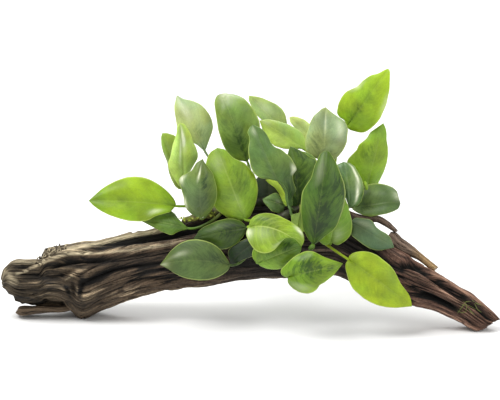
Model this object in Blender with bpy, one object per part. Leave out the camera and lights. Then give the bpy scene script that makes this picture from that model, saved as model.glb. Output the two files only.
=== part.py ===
"""Anubias nana growing on an arched piece of driftwood.

The wood stands on two small flats, one under its thick left end and one under its thin
right tip. A creeping rhizome lies along its top, with one side branch over its front, and
every leaf is one piece with its petiole, which starts just clear of the rhizome.

Places are laid out as the plant is seen from the front, from 15 degrees above the floor:
millimetres across, millimetres up the view, and depth, away from the viewer. The function
seen_at turns them into the frame that everything is built in, in metres with Z up.
"""
import math
from collections import namedtuple

import bmesh
import bpy
import numpy as np

PART = "anubias_nana_on_driftwood"
MM = 0.001
VIEW_TILT = math.radians(15.0)
DEPTH_SHIFT = 3.6        # moves the whole part back, so that its box is centred on the origin

# Driving dimensions, in millimetres
GAP = 0.3                # clearance between neighbouring pieces
CUT_BACK = 0.345         # a little more, for what the flat faces of a round piece take off
FULL_LEAF = 30           # a blade shorter than this has a thinner petiole
PETIOLE_RADIUS = 0.9     # at the blade
SHEATH_RADIUS = 1.3      # at the rhizome
RHIZOME_RADIUS = 3.3
BRANCH_RADIUS = 2.7
ROOT_RADIUS = 0.9
WOOD_SQUARENESS = 2.4    # 2 is an ellipse, more is boxier
WOOD_SIDES = 28          # corners of a section of the wood
PETIOLE_SLACK = 0.34     # how far a petiole's ends run straight, as a share of its span
SWELLING = 0.08          # how much the rhizome swells and narrows between old leaf scars
LEAF_LOBE = 0.07         # how far a blade's base sweeps back, as a share of its length
LOBE_START = 0.08        # share of the length over which that sweep sets in
TIP_THINS = 0.12         # share of the length, at the tip, over which a blade gets thinner
TIP_POINT = 0.85         # 1 is a straight taper to the tip, less is rounder
TIP_THICKNESS = 0.25     # share of the blade's thickness that its tip keeps
THINNEST_PETIOLE = 0.6   # share of the full radii, on the smallest leaves
RHIZOME_END = 0.55       # radius of the rhizome's two ends, as a share
ROOT_TIP = 0.6           # radius of a root's tip, as a share
MIDRIB_STEPS = 200       # steps of a midrib's fine line
FORK_SIDES, RHIZOME_SIDES, ROOT_SIDES = 12, 10, 6
FIRST_SIDE = (0.31, 0.52, 0.8)    # a tube's corners are counted from here; no tube points this way

# Sections of the trunk from left to right: the top edge and the bottom edge as seen
# (across, up), the depth of the middle, and half of the section's depth.
Section = namedtuple("Section", "top bottom depth half_depth")
TRUNK = [
    Section((-155.6, 26.5), (-155.6, 20.8), 8, 6),
    Section((-154.2, 32.5), (-154.0, 18.8), 8, 11),
    Section((-151.5, 36.0), (-151.5, 16.2), 8, 14),
    Section((-147.8, 37.8), (-148.3, 12.8), 8, 16),
    Section((-144.0, 38.4), (-144.0, 10.8), 8, 17.5),
    Section((-136.5, 38.4), (-136.5, 10.6), 8, 18),
    Section((-132.0, 38.8), (-131.5, 10.8), 8, 18.5),
    Section((-129.0, 44.4), (-128.5, 11.2), 8, 19),
    Section((-125.2, 46.2), (-125.2, 11.4), 8, 19.5),
    Section((-119.5, 47.0), (-120.2, 10.8), 8.5, 20),
    Section((-115.2, 47.8), (-115.2, 7.6), 9, 20.5),
    Section((-111.5, 48.5), (-111.5, 5.0), 9.5, 21),
    Section((-109.0, 48.9), (-109.0, 2.4), 10, 21.5),
    Section((-105.2, 49.5), (-105.2, 0.8), 10, 22),
    Section((-100.2, 50.2), (-100.8, 2.2), 9.5, 22),
    Section((-94.0, 51.0), (-94.6, 5.8), 8.5, 21.5),
    Section((-84.6, 53.3), (-85.8, 9.6), 7, 21.5),
    Section((-74.0, 55.4), (-75.2, 13.6), 5.5, 21),
    Section((-62.8, 57.7), (-64.0, 16.7), 4, 20.5),
    Section((-50.2, 60.2), (-51.5, 18.9), 2.5, 20),
    Section((-34.6, 64.5), (-36.5, 20.5), 1, 20),
    Section((-19.0, 68.3), (-20.8, 22.0), 0, 20),
    Section((-3.4, 70.8), (-5.2, 24.8), -1, 19.5),
    Section((12.2, 72.7), (9.8, 26.1), -2, 19),
    Section((27.8, 73.3), (25.4, 26.4), -3, 18.5),
    Section((43.4, 73.3), (39.8, 28.0), -4, 18),
    Section((59.0, 70.2), (52.2, 28.3), -6, 17.5),
    Section((71.5, 60.8), (62.2, 24.6), -8, 17),
    Section((81.0, 53.3), (71.0, 19.6), -10, 16.5),
    Section((89.0, 45.8), (79.8, 15.5), -12, 16),
    Section((98.5, 40.8), (89.0, 12.7), -13.5, 15),
    Section((106.0, 35.8), (96.5, 10.5), -15, 14.5),
    Section((116.5, 29.8), (106.0, 8.9), -16.5, 14),
    Section((124.8, 25.2), (115.4, 6.4), -17.5, 13.5),
    Section((132.2, 20.5), (123.5, 3.0), -18.5, 12.5),
    Section((138.5, 16.8), (130.4, 0.0), -19.5, 11.5),
    Section((144.0, 12.4), (135.4, -3.2), -20.5, 10.5),
    Section((149.0, 8.0), (139.8, -5.4), -21, 9),
    Section((152.8, 4.6), (142.6, -5.8), -21.5, 7.5),
    Section((155.6, 1.8), (146.4, -4.4), -22, 5),
]

# Long ridges and furrows of the trunk. Each follows (across, angle, height) points: the
# angle runs round the wood, 0 at the front, 90 on top, 180 behind, -90 underneath, and the
# height is above the plain surface in millimetres, less than 0 for a furrow.
Crease = namedtuple("Crease", "width points")
CREASES = [
    Crease(15, [(-106, 72, 0), (-94, 67, -4), (-78, 61, -7), (-60, 56, -9), (-32, 52, -8), (0, 50, 0)]),
    Crease(9, [(-150, -5, 0), (-137, 35, 1), (-120, 40, 1.5), (-104, 52, 1.5), (-94, 48, 2),
               (-75, 33, 2), (-45, 27, 1.5), (-10, 24, 0)]),
    Crease(9, [(-136, 20, 0), (-122, 18, -2), (-114, 30, -3), (-104, 33, -2.5), (-85, 24, -1.5),
               (-40, 16, 0)]),
    Crease(9, [(-110, -8, 0), (-100, -3, -3), (-85, 3, -3), (-60, -6, -2), (-30, -8, 0)]),
    Crease(10, [(-118, -4, 0), (-109, -7, 3), (-103, -12, 0)]),
    Crease(9, [(-80, -30, 0), (-62, -36, -2), (-20, -36, -1.5), (40, -30, 0)]),
    Crease(10, [(92, 64, 0), (99, 61, -5), (112, 50, -4), (125, 38, -3), (138, 34, 0)]),
    Crease(10, [(88, 22, 0), (100, 26, 1.5), (125, 14, 2), (142, 10, 0)]),
    Crease(11, [(94, -18, 0), (106, -24, -5), (122, -27, -4.5), (131, -30, 0)]),
    Crease(16, [(-140, 165, 0), (-110, 168, -3), (-50, 172, -4), (20, 160, -3), (70, 166, 0)]),
    Crease(13, [(-130, 135, 0), (-80, 138, 2), (0, 132, 2), (60, 140, 0)]),
    Crease(14, [(-90, 205, 0), (-40, 208, -3), (60, 200, -3.5), (120, 196, 0)]),
    Crease(18, [(-70, 265, 0), (-20, 268, -3), (40, 262, -3), (90, 268, 0)]),
]

# The two forks: round rods given by (across, up, depth), half height and half depth.
Rod = namedtuple("Rod", "middle half_height half_depth")
LOWER_PRONG = [
    Rod((-147.0, 6.9, 8), 0.9, 4),
    Rod((-146.0, 6.4, 8), 2.2, 7),
    Rod((-143.2, 6.3, 8), 3.0, 8.5),
    Rod((-137.6, 6.6, 8), 2.8, 9),
    Rod((-131.4, 7.1, 8), 2.5, 9),
    Rod((-125.2, 7.3, 8), 2.2, 9),
    Rod((-119.0, 7.4, 8.5), 2.2, 9),
    Rod((-112.7, 8.6, 9), 2.2, 8),
]
UPPER_STRAND = [
    Rod((55.0, 68.6, -8), 2.4, 4),
    Rod((61.5, 68.0, -8), 2.4, 4),
    Rod((69.0, 64.6, -8), 2.3, 4),
    Rod((75.0, 63.2, -8), 2.6, 4.2),
    Rod((81.2, 62.6, -8.5), 2.7, 4.4),
    Rod((86.5, 58.4, -9), 2.3, 4.4),
    Rod((91.0, 53.0, -9.5), 3.2, 4.8),
    Rod((97.0, 47.0, -10.5), 3.4, 5),
    Rod((103.0, 42.0, -11.5), 3.2, 5),
    Rod((109.2, 37.4, -12.5), 3.0, 4.8),
    Rod((116.2, 32.0, -13.5), 2.6, 4.4),
]

# The rhizome's middle line, and its side branch over the front of the wood.
RHIZOME = [(-43, 62.5, -7), (-29, 66.7, -6), (-15, 70.3, -5.3), (-1, 73, -4.8), (13, 75, -4.4),
           (27, 76, -4), (41, 76, -4), (55, 74.5, -5)]
SIDE_BRANCH = [(41, 74.5, -10.5), (37, 72.5, -16), (29, 69.5, -20), (19, 65, -22.5),
               (11, 61.5, -24), (3, 59, -24)]

# Roots that grip the wood: (across, angle round the wood) points from the rhizome outwards.
ROOTS = {
    "root_back_left": [(-30, 112), (-36, 135), (-46, 158), (-58, 182)],
    "root_back_middle": [(2, 112), (0, 138), (-6, 165), (-4, 190), (-10, 212)],
    "root_back_right": [(36, 110), (44, 134), (58, 156), (70, 182)],
    "root_back_far_left": [(-40, 118), (-52, 142), (-66, 160), (-76, 186)],
}

# Each leaf: which rhizome, how far along it (0 to 1) and at which angle round it the petiole
# starts (0 front, 90 up, 180 back), then five points of the blade as seen (across, up, depth):
# base, middle of the midrib where the blade is widest, tip, and the left and right edges
# there. Curl is how many degrees the outer part bends down, from curl_from to the tip.
Leaf = namedtuple("Leaf", "stem share angle base middle tip left right curl curl_from", defaults=(15, 0.5))
LEAVES = {
    "leaf_far_left": Leaf("main", 0.13, 60, (-49, 70, -12), (-70, 73.5, -15), (-100, 75.5, -17),
                          (-71.5, 62, -20), (-73, 90.5, -8)),
    "leaf_left_low": Leaf("main", 0.25, 0, (-39.5, 58.5, -15), (-54.5, 62.5, -14), (-69.5, 67.5, -9),
                          (-53.5, 54.5, -17), (-52, 71.5, -6)),
    "leaf_left_back": Leaf("main", 0.22, 130, (-40.5, 86, 12), (-49, 103, 15), (-54.5, 118.5, 17),
                           (-55.5, 108, 19), (-41.5, 107, 12)),
    "leaf_left_upright": Leaf("main", 0.31, 100, (-41.5, 82, 3), (-42, 102, 0), (-42, 124, -4),
                              (-49.5, 107, -3), (-33, 102, 7)),
    "leaf_top_left": Leaf("main", 0.39, 95, (-28.5, 107, 12), (-36.5, 123.5, 9), (-45, 141.5, 12),
                          (-45, 119.5, 10), (-25.5, 129, 14)),
    "leaf_top_broad": Leaf("main", 0.47, 90, (-2, 99.5, 6), (-10, 122, 2), (-18.5, 147, 2),
                           (-20.5, 120, 2), (4.5, 128, 6), 130, 0.58),
    "leaf_centre_wavy": Leaf("side", 0.45, 35, (24, 71.5, -25), (13.5, 95, -20), (1.5, 122.5, -15),
                             (3, 90.5, -22), (26, 100.5, -15)),
    "leaf_centre_crescent": Leaf("main", 0.665, 5, (22, 75, -13), (18.5, 82, -10), (9.5, 88.5, -9),
                                 (15.5, 80.5, -8), (22.5, 82.5, -12)),
    "leaf_left_front": Leaf("main", 0.18, 30, (-30, 64.5, -22), (-31, 82, -28), (-29.5, 101.5, -25),
                            (-44, 83.5, -22), (-20.5, 83, -23)),
    "leaf_left_broad": Leaf("side", 0.98, 70, (-4, 64.5, -20), (-11, 83, -20.5), (-21, 108.5, -17),
                            (-24.5, 78, -15), (4, 89, -18)),
    "leaf_top_back": Leaf("main", 0.66, 115, (26, 113, 30), (13, 126.5, 32), (-1, 141, 34),
                          (8.5, 122.5, 28), (18.5, 132, 37)),
    "leaf_top_bright": Leaf("main", 0.74, 95, (35, 107, 15), (21.5, 115.5, 14), (6, 125, 12),
                            (17.5, 108.5, 9), (26, 122, 21)),
    "leaf_top_small": Leaf("main", 0.80, 120, (46.5, 107, 24), (36, 116.5, 27), (25, 127, 28),
                           (32.5, 112.5, 24), (40, 121, 31)),
    "leaf_top_grey": Leaf("main", 0.88, 100, (45.5, 99.5, 5), (46.5, 115, 2), (47.5, 133.5, 7),
                          (34.5, 113.5, 4), (61, 116.5, 6)),
    "leaf_top_right": Leaf("main", 0.95, 135, (60.5, 121, 16), (69.5, 133.5, 12), (86, 157.5, 7),
                           (58, 141.5, 18), (81, 126, 8)),
    "leaf_front_tall": Leaf("side", 0.27, 0, (39, 48, -42), (43, 74, -47), (47, 106.5, -42),
                            (31.5, 75.5, -41), (58, 72, -41)),
    "leaf_front_behind_tall": Leaf("side", 0.15, -16, (51, 49.5, -34), (52, 66, -37), (53, 88, -31),
                                   (40, 64, -34), (63.5, 63.5, -32)),
    "leaf_front_right": Leaf("side", 0.39, -66, (61, 38.5, -38), (75.5, 28.5, -43), (100.5, 10.5, -40),
                             (82.5, 38.5, -38), (67, 17, -45)),
    "leaf_front_low": Leaf("side", 0.48, -60, (22.5, 27.5, -47), (36.5, 31, -54), (58, 35.5, -50),
                           (33.5, 44.5, -51), (39.5, 18, -52)),
    "leaf_front_quilted": Leaf("side", 0.90, -40, (5, 37, -38), (16.5, 41.5, -43), (32.5, 47, -40),
                               (13, 51.5, -37), (19.5, 33, -41)),
    "leaf_front_bright": Leaf("side", 0.78, 30, (1, 57.5, -42), (14.5, 58, -49), (32.5, 48, -51),
                              (20, 67.5, -43), (9, 42.5, -49)),
    "leaf_wood_left": Leaf("side", 0.99, -30, (-13.5, 35, -32), (-32, 38, -35), (-57, 35, -27),
                           (-31, 26, -33), (-33.5, 52, -30)),
    "leaf_wood_upper": Leaf("side", 0.88, 8, (-4.5, 58.5, -25), (-17, 56, -26.5), (-35, 52, -21.5),
                            (-15, 45.5, -24.5), (-18.5, 63.5, -21.5)),
    "leaf_wood_dark": Leaf("side", 0.66, -80, (5, 51, -26.5), (-4.5, 44.5, -26.5), (-13.5, 35.5, -25),
                           (1.5, 39.5, -27), (-10.5, 47, -24.5)),
    "leaf_centre_dark": Leaf("main", 0.70, 20, (26, 75.5, -14), (17.5, 75, -18), (7.5, 77, -18),
                             (16, 69, -21), (18, 81, -15.5)),
    "leaf_centre_back": Leaf("main", 0.76, 12, (32, 79, -11), (30.5, 90.5, -9.5), (24, 109, -8),
                             (23, 88, -11), (39.5, 91.5, -7)),
    "leaf_centre_shade": Leaf("main", 0.58, 60, (11.5, 82, -4), (11.5, 88.5, -3), (10.5, 98, -2),
                              (4.5, 87.5, -3), (18.5, 89, -2)),
    "leaf_under_grey": Leaf("main", 0.83, 80, (41.5, 94, -3), (36, 99.5, -2), (29, 106, -2),
                            (33, 96, -3), (39.5, 103, -2)),
    "leaf_right_folded": Leaf("main", 0.90, 46, (61.5, 71.5, -15), (61, 85, -18), (58, 99.5, -14),
                              (52.5, 84.5, -15), (70.5, 84, -12)),
    "leaf_right_tall": Leaf("main", 0.99, 95, (72.5, 80, 11), (76.5, 98.5, 9), (83, 124, 11),
                            (61, 102, 9), (84.5, 96.5, 14)),
    "leaf_right_round": Leaf("main", 1.00, 30, (66, 71.5, -7), (79.5, 72.5, -10), (96, 74.5, -12),
                             (80.5, 87.5, 0), (81, 64.5, -16), 80, 0.6),
    "leaf_right_low": Leaf("main", 0.96, -5, (62.5, 62, -25.5), (73, 56, -28.5), (90, 46, -28.5),
                           (77, 62.5, -22.5), (69, 49, -29.5)),
    "leaf_front_hidden": Leaf("side", 0.35, 40, (28.5, 73, -27), (29.5, 65, -29), (31, 56, -31),
                              (34, 64.5, -28), (25, 64.5, -29)),
    "leaf_back_left": Leaf("main", 0.36, 155, (-8, 85, 14), (-14, 95.5, 34), (-20, 96, 58),
                           (-28, 91.5, 32), (0, 92.5, 36)),
    "leaf_back_middle": Leaf("main", 0.60, 150, (18, 83.5, 16), (20, 98.5, 38), (22, 103.5, 62),
                             (5, 95, 38), (35, 95, 38)),
    "leaf_back_right": Leaf("main", 0.91, 160, (48, 83, 14), (51, 94, 34), (52, 97, 54),
                            (37, 91.5, 36), (66, 92.5, 32)),
    "leaf_back_low_left": Leaf("main", 0.46, 175, (2, 76.5, 28), (-2, 64.5, 40), (-6, 44.5, 46),
                               (-17, 64.5, 36), (13, 62.5, 36)),
    "leaf_back_low_right": Leaf("main", 0.82, 178, (38, 76.5, 26), (44, 66, 38), (52, 48, 44),
                                (30, 63, 34), (58, 67, 34)),
}
PETIOLE_ROWS = [0, 12, 24, 30]        # of 31 points along it, closer where it turns into the blade
BLADE_ROWS = [0.03, 0.15, 0.34, 0.54, 0.74, 0.90, 0.995]
HALF_BLADE = [0.0, 0.5, 1.0]          # shares of the half width where a blade has its lines
BLADE_THICKNESS = [1.28, 0.8, 0.0]    # and its thickness there: midrib, half way, edge

DARK_WOOD = (0.11, 0.075, 0.05)
SPLIT_WOOD = (0.2, 0.13, 0.09)
GREEN_STEM = (0.16, 0.25, 0.06)
ROOT_BROWN = (0.3, 0.26, 0.14)
LEAF_GREEN = (0.2, 0.38, 0.06)


def seen_at(across, up, depth):
    """The point (x, y, z) in metres of a place given as seen from the front, 15 degrees above."""
    across, up, depth = (np.asarray(value, float) for value in (across, up, depth))
    z = (up - depth * math.sin(VIEW_TILT)) / math.cos(VIEW_TILT)
    return np.stack(np.broadcast_arrays(across, depth - DEPTH_SHIFT, z), axis=-1) * MM


def unit(vector):
    return vector / np.linalg.norm(vector, axis=-1, keepdims=True)


def crease_height(across, angle):
    """Height in millimetres of all ridges and furrows at a place on the trunk: bell curves in
    the angle, round the line that each crease follows."""
    height = np.zeros(np.broadcast(across, angle).shape)
    for crease in CREASES:
        x, line, peak = (list(values) for values in zip(*crease.points))
        middle = np.interp(across, x, line)
        away = (angle - middle + 180.0) % 360.0 - 180.0
        height += np.interp(across, x, peak, left=0.0, right=0.0) * np.exp(-(away / crease.width) ** 2)
    return height


def trunk_point(place, angle, lift=0.0):
    """A point of the trunk's surface: place is the section's number, which may be a fraction,
    and angle is in degrees round it. The section is a superellipse between the top and bottom
    edges, pushed out by the creases and by lift, in millimetres."""
    place, angle = np.broadcast_arrays(np.asarray(place, float), np.asarray(angle, float))
    numbers = np.array([(*s.top, *s.bottom, s.depth, s.half_depth) for s in TRUNK]).T
    top_x, top_up, bottom_x, bottom_up, depth, half_depth = (
        np.interp(place, np.arange(len(TRUNK)), values) for values in numbers)
    middle = np.stack([top_x + bottom_x, top_up + bottom_up], axis=-1) / 2
    rise = np.stack([top_x - bottom_x, top_up - bottom_up], axis=-1) / 2
    turn = np.radians(angle)
    round_off = (abs(np.cos(turn)) ** WOOD_SQUARENESS + abs(np.sin(turn)) ** WOOD_SQUARENESS) ** (
        -1.0 / WOOD_SQUARENESS)
    radius = (np.hypot(*np.moveaxis(rise, -1, 0)) + half_depth) / 2
    grow = round_off * (1.0 + (crease_height(middle[..., 0], angle) + lift) / radius)
    out = middle + rise * (grow * np.sin(turn))[..., None]
    # the view's own depth axis leans down, so a section keeps its measured edges
    away = depth - half_depth * grow * np.cos(turn)
    return seen_at(out[..., 0], out[..., 1], away)


def loft(name, rings, colour, roughness):
    """A closed solid through rings of points, each with the same count, with flat ends."""
    count, sides = rings.shape[:2]
    row, side = np.meshgrid(np.arange(count - 1), np.arange(sides), indexing="ij")
    after = (side + 1) % sides
    faces = np.stack([row * sides + side, row * sides + after, (row + 1) * sides + after,
                      (row + 1) * sides + side], axis=-1).reshape(-1, 4).tolist()
    faces.append(list(range(sides))[::-1])
    faces.append(list(range((count - 1) * sides, count * sides)))
    mesh = bpy.data.meshes.new(name)
    mesh.from_pydata(rings.reshape(-1, 3).tolist(), [], faces)
    working = bmesh.new()
    working.from_mesh(mesh)
    bmesh.ops.recalc_face_normals(working, faces=working.faces)
    working.to_mesh(mesh)
    working.free()
    return place_in_part(name, mesh, colour, roughness)


def place_in_part(name, mesh, colour, roughness):
    """An object in the part's collection, with a Principled material of its own."""
    obj = bpy.data.objects.new(name, mesh)
    bpy.data.collections[PART].objects.link(obj)
    material = bpy.data.materials.new(name)
    material.use_nodes = True
    shader = material.node_tree.nodes["Principled BSDF"]
    shader.inputs["Base Color"].default_value = (*colour, 1.0)
    shader.inputs["Roughness"].default_value = roughness
    shader.inputs["Metallic"].default_value = 0.0
    mesh.materials.append(material)
    mesh.shade_smooth()
    mesh.set_sharp_from_angle(angle=math.radians(40))
    return obj


def cut_flat_on_floor(obj):
    """Cuts off what lies below the floor and closes the cuts: the flats that the wood stands on."""
    working = bmesh.new()
    working.from_mesh(obj.data)
    parts = working.verts[:] + working.edges[:] + working.faces[:]
    bmesh.ops.bisect_plane(working, geom=parts, plane_co=(0, 0, 0), plane_no=(0, 0, 1),
                           clear_inner=True)
    rims = [edge for edge in working.edges if edge.is_boundary]
    bmesh.ops.holes_fill(working, edges=rims, sides=0)
    bmesh.ops.recalc_face_normals(working, faces=working.faces)
    working.to_mesh(obj.data)
    working.free()


def keep_clear(obj, neighbour):
    """Cuts a piece back from a neighbour, with the gap that separate pieces keep."""
    cutter_name = "clearance_" + neighbour.name
    cutter = bpy.data.objects.get(cutter_name)
    if cutter is None:
        cutter = bpy.data.objects.new(cutter_name, neighbour.data.copy())
        points = np.array([v.co + v.normal * CUT_BACK * MM for v in neighbour.data.vertices])
        cutter.data.vertices.foreach_set("co", points.ravel())
        cutter.hide_render = True
        cutter.display_type = "WIRE"
        bpy.data.collections["cutters"].objects.link(cutter)
    cut = obj.modifiers.new("clear of " + neighbour.name, "BOOLEAN")
    cut.operation = "DIFFERENCE"
    cut.solver = "EXACT"
    cut.object = cutter


def smooth_line(points, count):
    """Count points along a smooth line through the given ones (Catmull-Rom)."""
    points = np.asarray(points, float)
    padded = np.vstack([2 * points[0] - points[1], points, 2 * points[-1] - points[-2]])
    place = np.linspace(0, len(points) - 1, count)
    first = np.minimum(place.astype(int), len(points) - 2)
    t = (place - first)[:, None]
    a, b, c, d = (padded[first + i] for i in range(4))
    return 0.5 * (2 * b + (c - a) * t + (2 * a - 5 * b + 4 * c - d) * t ** 2
                  + (3 * b - a - 3 * c + d) * t ** 3)


def tube(line, radii, sides):
    """Rings of a round tube along a line of points, carried along without twist."""
    steps = unit(np.gradient(line, axis=0))
    side = unit(np.cross(steps[0], FIRST_SIDE))
    rings = []
    for point, step, radius in zip(line, steps, radii):
        side = unit(side - step * (side @ step))
        other = np.cross(step, side)
        turn = np.radians(np.arange(sides) * 360.0 / sides)[:, None]
        rings.append(point + radius * (np.cos(turn) * side + np.sin(turn) * other))
    return np.array(rings)


def rod_rings(rods, sides):
    """Rings of a fork: ellipses that stand across its middle line."""
    middle = seen_at(*zip(*[rod.middle for rod in rods]))
    along = unit(np.gradient(middle, axis=0))
    depth_way = np.array([0.0, math.cos(VIEW_TILT), -math.sin(VIEW_TILT)])
    rise = unit(np.cross(along, depth_way))
    turn = np.radians(np.arange(sides) * 360.0 / sides)[None, :, None]
    high = np.array([rod.half_height for rod in rods])[:, None, None] * MM
    deep = np.array([rod.half_depth for rod in rods])[:, None, None] * MM
    return (middle[:, None] + high * np.sin(turn) * rise[:, None]
            + deep * np.cos(turn) * depth_way)


def make_wood():
    """The trunk and its two forks."""
    places = np.arange(len(TRUNK))[:, None]
    angles = np.arange(WOOD_SIDES)[None, :] * 360.0 / WOOD_SIDES
    trunk = loft("driftwood_trunk", trunk_point(places, angles), DARK_WOOD, 0.8)
    cut_flat_on_floor(trunk)
    prong = loft("driftwood_lower_prong", rod_rings(LOWER_PRONG, FORK_SIDES), DARK_WOOD, 0.8)
    strand = loft("driftwood_upper_strand", rod_rings(UPPER_STRAND, FORK_SIDES), SPLIT_WOOD, 0.8)
    for fork in (prong, strand):
        keep_clear(fork, trunk)
    return trunk


def rhizome_line(stem):
    """The middle line of the rhizome, or of its side branch."""
    return seen_at(*zip(*(RHIZOME if stem == "main" else SIDE_BRANCH)))


def make_rhizome(trunk):
    """The creeping stem: slightly swollen between the scars of old leaves."""
    for stem, name, radius, count in (("main", "rhizome", RHIZOME_RADIUS, 21),
                                      ("side", "rhizome_side_branch", BRANCH_RADIUS, 11)):
        line = smooth_line(rhizome_line(stem), count)
        swell = 1.0 + SWELLING * np.where(np.arange(count) % 2, 1.0, -1.0)
        swell[[0, -1]] = RHIZOME_END
        piece = loft(name, tube(line, radius * MM * swell, RHIZOME_SIDES), GREEN_STEM, 0.5)
        keep_clear(piece, trunk)
        if stem == "main":
            main = piece
        else:
            keep_clear(piece, main)


def place_of_across(across):
    """The trunk's section number whose middle lies at this place across."""
    middles = [(s.top[0] + s.bottom[0]) / 2 for s in TRUNK]
    return np.interp(across, middles, np.arange(len(TRUNK)))


def make_roots(trunk):
    """Roots that run over the wood's surface, thinner towards their ends."""
    for name, path in ROOTS.items():
        across, angle = smooth_line(path, 10).T
        lift = np.full(len(across), ROOT_RADIUS + GAP)
        line = trunk_point(place_of_across(across), angle, lift)
        radii = np.linspace(1.0, ROOT_TIP, len(across)) * ROOT_RADIUS * MM
        piece = loft(name, tube(line, radii, ROOT_SIDES), ROOT_BROWN, 0.7)
        keep_clear(piece, trunk)


def bezier(points, t):
    """A curve from the first to the last of three or four points, drawn towards the others."""
    t = np.asarray(t, float)[:, None]
    if len(points) == 3:
        a, b, c = points
        return (1 - t) ** 2 * a + 2 * t * (1 - t) * b + t ** 2 * c
    a, b, c, d = points
    return (1 - t) ** 3 * a + 3 * t * (1 - t) ** 2 * b + 3 * t ** 2 * (1 - t) * c + t ** 3 * d


def petiole_start(leaf):
    """Where the petiole leaves the rhizome's skin, and the way it points there."""
    line = smooth_line(rhizome_line(leaf.stem), 60)
    spot = int(round(leaf.share * 59))
    along = unit(np.gradient(line, axis=0)[spot])
    front = np.array([0.0, -1.0, 0.0])
    front = unit(front - along * (front @ along))
    up = np.cross(front, along)
    up = up if up[2] > 0 else -up
    turn = math.radians(leaf.angle)
    way = math.cos(turn) * front + math.sin(turn) * up
    radius = RHIZOME_RADIUS if leaf.stem == "main" else BRANCH_RADIUS
    return line[spot] + way * (radius * (1 + 1.5 * SWELLING) + GAP) * MM, way


def leaf_rings(leaf):
    """Rings of a leaf: round along the petiole, then flat and wide along the blade.

    The midrib is a quadratic curve through base, middle and tip, whose outer part bends down
    by the curl. A point at share s along it and share u of the half width lies at
    midrib(s) + |u| * width(s) * edge, where width rises and falls as a power of the distance
    to base and tip and is 1 at the middle, and the base sweeps back into two lobes."""
    base, middle, tip, left, right = (seen_at(*getattr(leaf, p)) for p in
                                      ("base", "middle", "tip", "left", "right"))
    reach = np.linalg.norm(middle - base), np.linalg.norm(tip - middle)
    widest = reach[0] / sum(reach)
    pull = (middle - (1 - widest) ** 2 * base - widest ** 2 * tip) / (2 * widest * (1 - widest))
    fine = np.linspace(0, 1, MIDRIB_STEPS + 1)
    line = bezier((base, pull, tip), fine)
    across = unit(right - left)
    face = unit(np.cross(tip - base, left - right))
    if leaf.curl:
        bend = np.radians(leaf.curl) * np.clip((fine - leaf.curl_from) / (1 - leaf.curl_from), 0, 1)
        steps = np.diff(line, axis=0)
        turn = ((bend[1:] + bend[:-1]) / 2)[:, None]
        down = -face * np.linalg.norm(steps, axis=1, keepdims=True)
        steps = steps * np.cos(turn) + down * np.sin(turn)
        line = np.vstack([line[0], line[0] + np.cumsum(steps, axis=0)])
    ways = unit(np.gradient(line, axis=0))

    start, way = petiole_start(leaf)
    slack = PETIOLE_SLACK * np.linalg.norm(base - start)
    stalk_line = bezier((start, start + way * slack, base - ways[0] * slack, base), np.linspace(0, 1, 31))
    stalk, stalk_ways = stalk_line[PETIOLE_ROWS], unit(np.gradient(stalk_line, axis=0))[PETIOLE_ROWS]

    # the petiole's rings are carried back from the blade without twist; small leaves have thin ones
    length = np.linalg.norm(tip - base)
    slim = np.clip(length / (FULL_LEAF * MM), THINNEST_PETIOLE, 1.0)
    rings = []
    side = across
    radii = np.linspace(SHEATH_RADIUS, PETIOLE_RADIUS, len(stalk)) * MM * slim
    turns = np.radians([180, 135, 90, 45, 0, -45, -90, -135])[:, None]
    for point, step, radius in zip(stalk[::-1], stalk_ways[::-1], radii[::-1]):
        side = unit(side - step * (side @ step))
        over = np.cross(side, step)
        rings.insert(0, point + radius * (np.cos(turns) * side + np.sin(turns) * over))

    rise = TIP_POINT * widest / (1 - widest)
    shares = [-u for u in HALF_BLADE[:0:-1]] + HALF_BLADE
    for s in BLADE_ROWS:
        spot = int(round(s * MIDRIB_STEPS))
        width = (s / widest) ** rise * ((1 - s) / (1 - widest)) ** TIP_POINT
        normal = unit(np.cross(ways[spot], left - right))
        sweep = LEAF_LOBE * length * (1 - s) ** 6 * min(1.0, s / LOBE_START)
        thin = min(1.0, (1 - s) / TIP_THINS + TIP_THICKNESS)
        upper, lower = [], []
        for u in shares:
            edge = (right if u > 0 else left) - middle
            point = line[spot] + abs(u) * width * edge
            point = point - ways[0] * sweep * abs(u) ** 1.5
            half = np.interp(abs(u), HALF_BLADE, BLADE_THICKNESS) / 2 * MM * thin
            upper.append(point + normal * half)
            lower.append(point - normal * half)
        rings.append(np.array(upper + lower[-2:0:-1]))
    return np.array(rings)


def make_leaves():
    """One closed piece for each leaf, petiole and blade."""
    for name, leaf in LEAVES.items():
        loft(name, leaf_rings(leaf), LEAF_GREEN, 0.4)


def main():
    """Empties the file and makes every piece."""
    for obj in list(bpy.data.objects):
        bpy.data.objects.remove(obj)
    for name in (PART, "cutters"):
        bpy.context.scene.collection.children.link(bpy.data.collections.new(name))
    trunk = make_wood()
    make_rhizome(trunk)
    make_roots(trunk)
    make_leaves()


main()
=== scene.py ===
# %% [markdown]
# # Anubias nana on driftwood
#
# A low water plant with broad leathery leaves. It creeps along the top of an arched, split
# piece of driftwood that stands on its two ends. The frame holds the plain solids that the
# object is measured by. This lesson dresses them: each solid gets a fine surface of its own,
# worked out with whole numpy arrays, and a material made of nodes.

# %% Load the frame
import math
from collections import namedtuple

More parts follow.
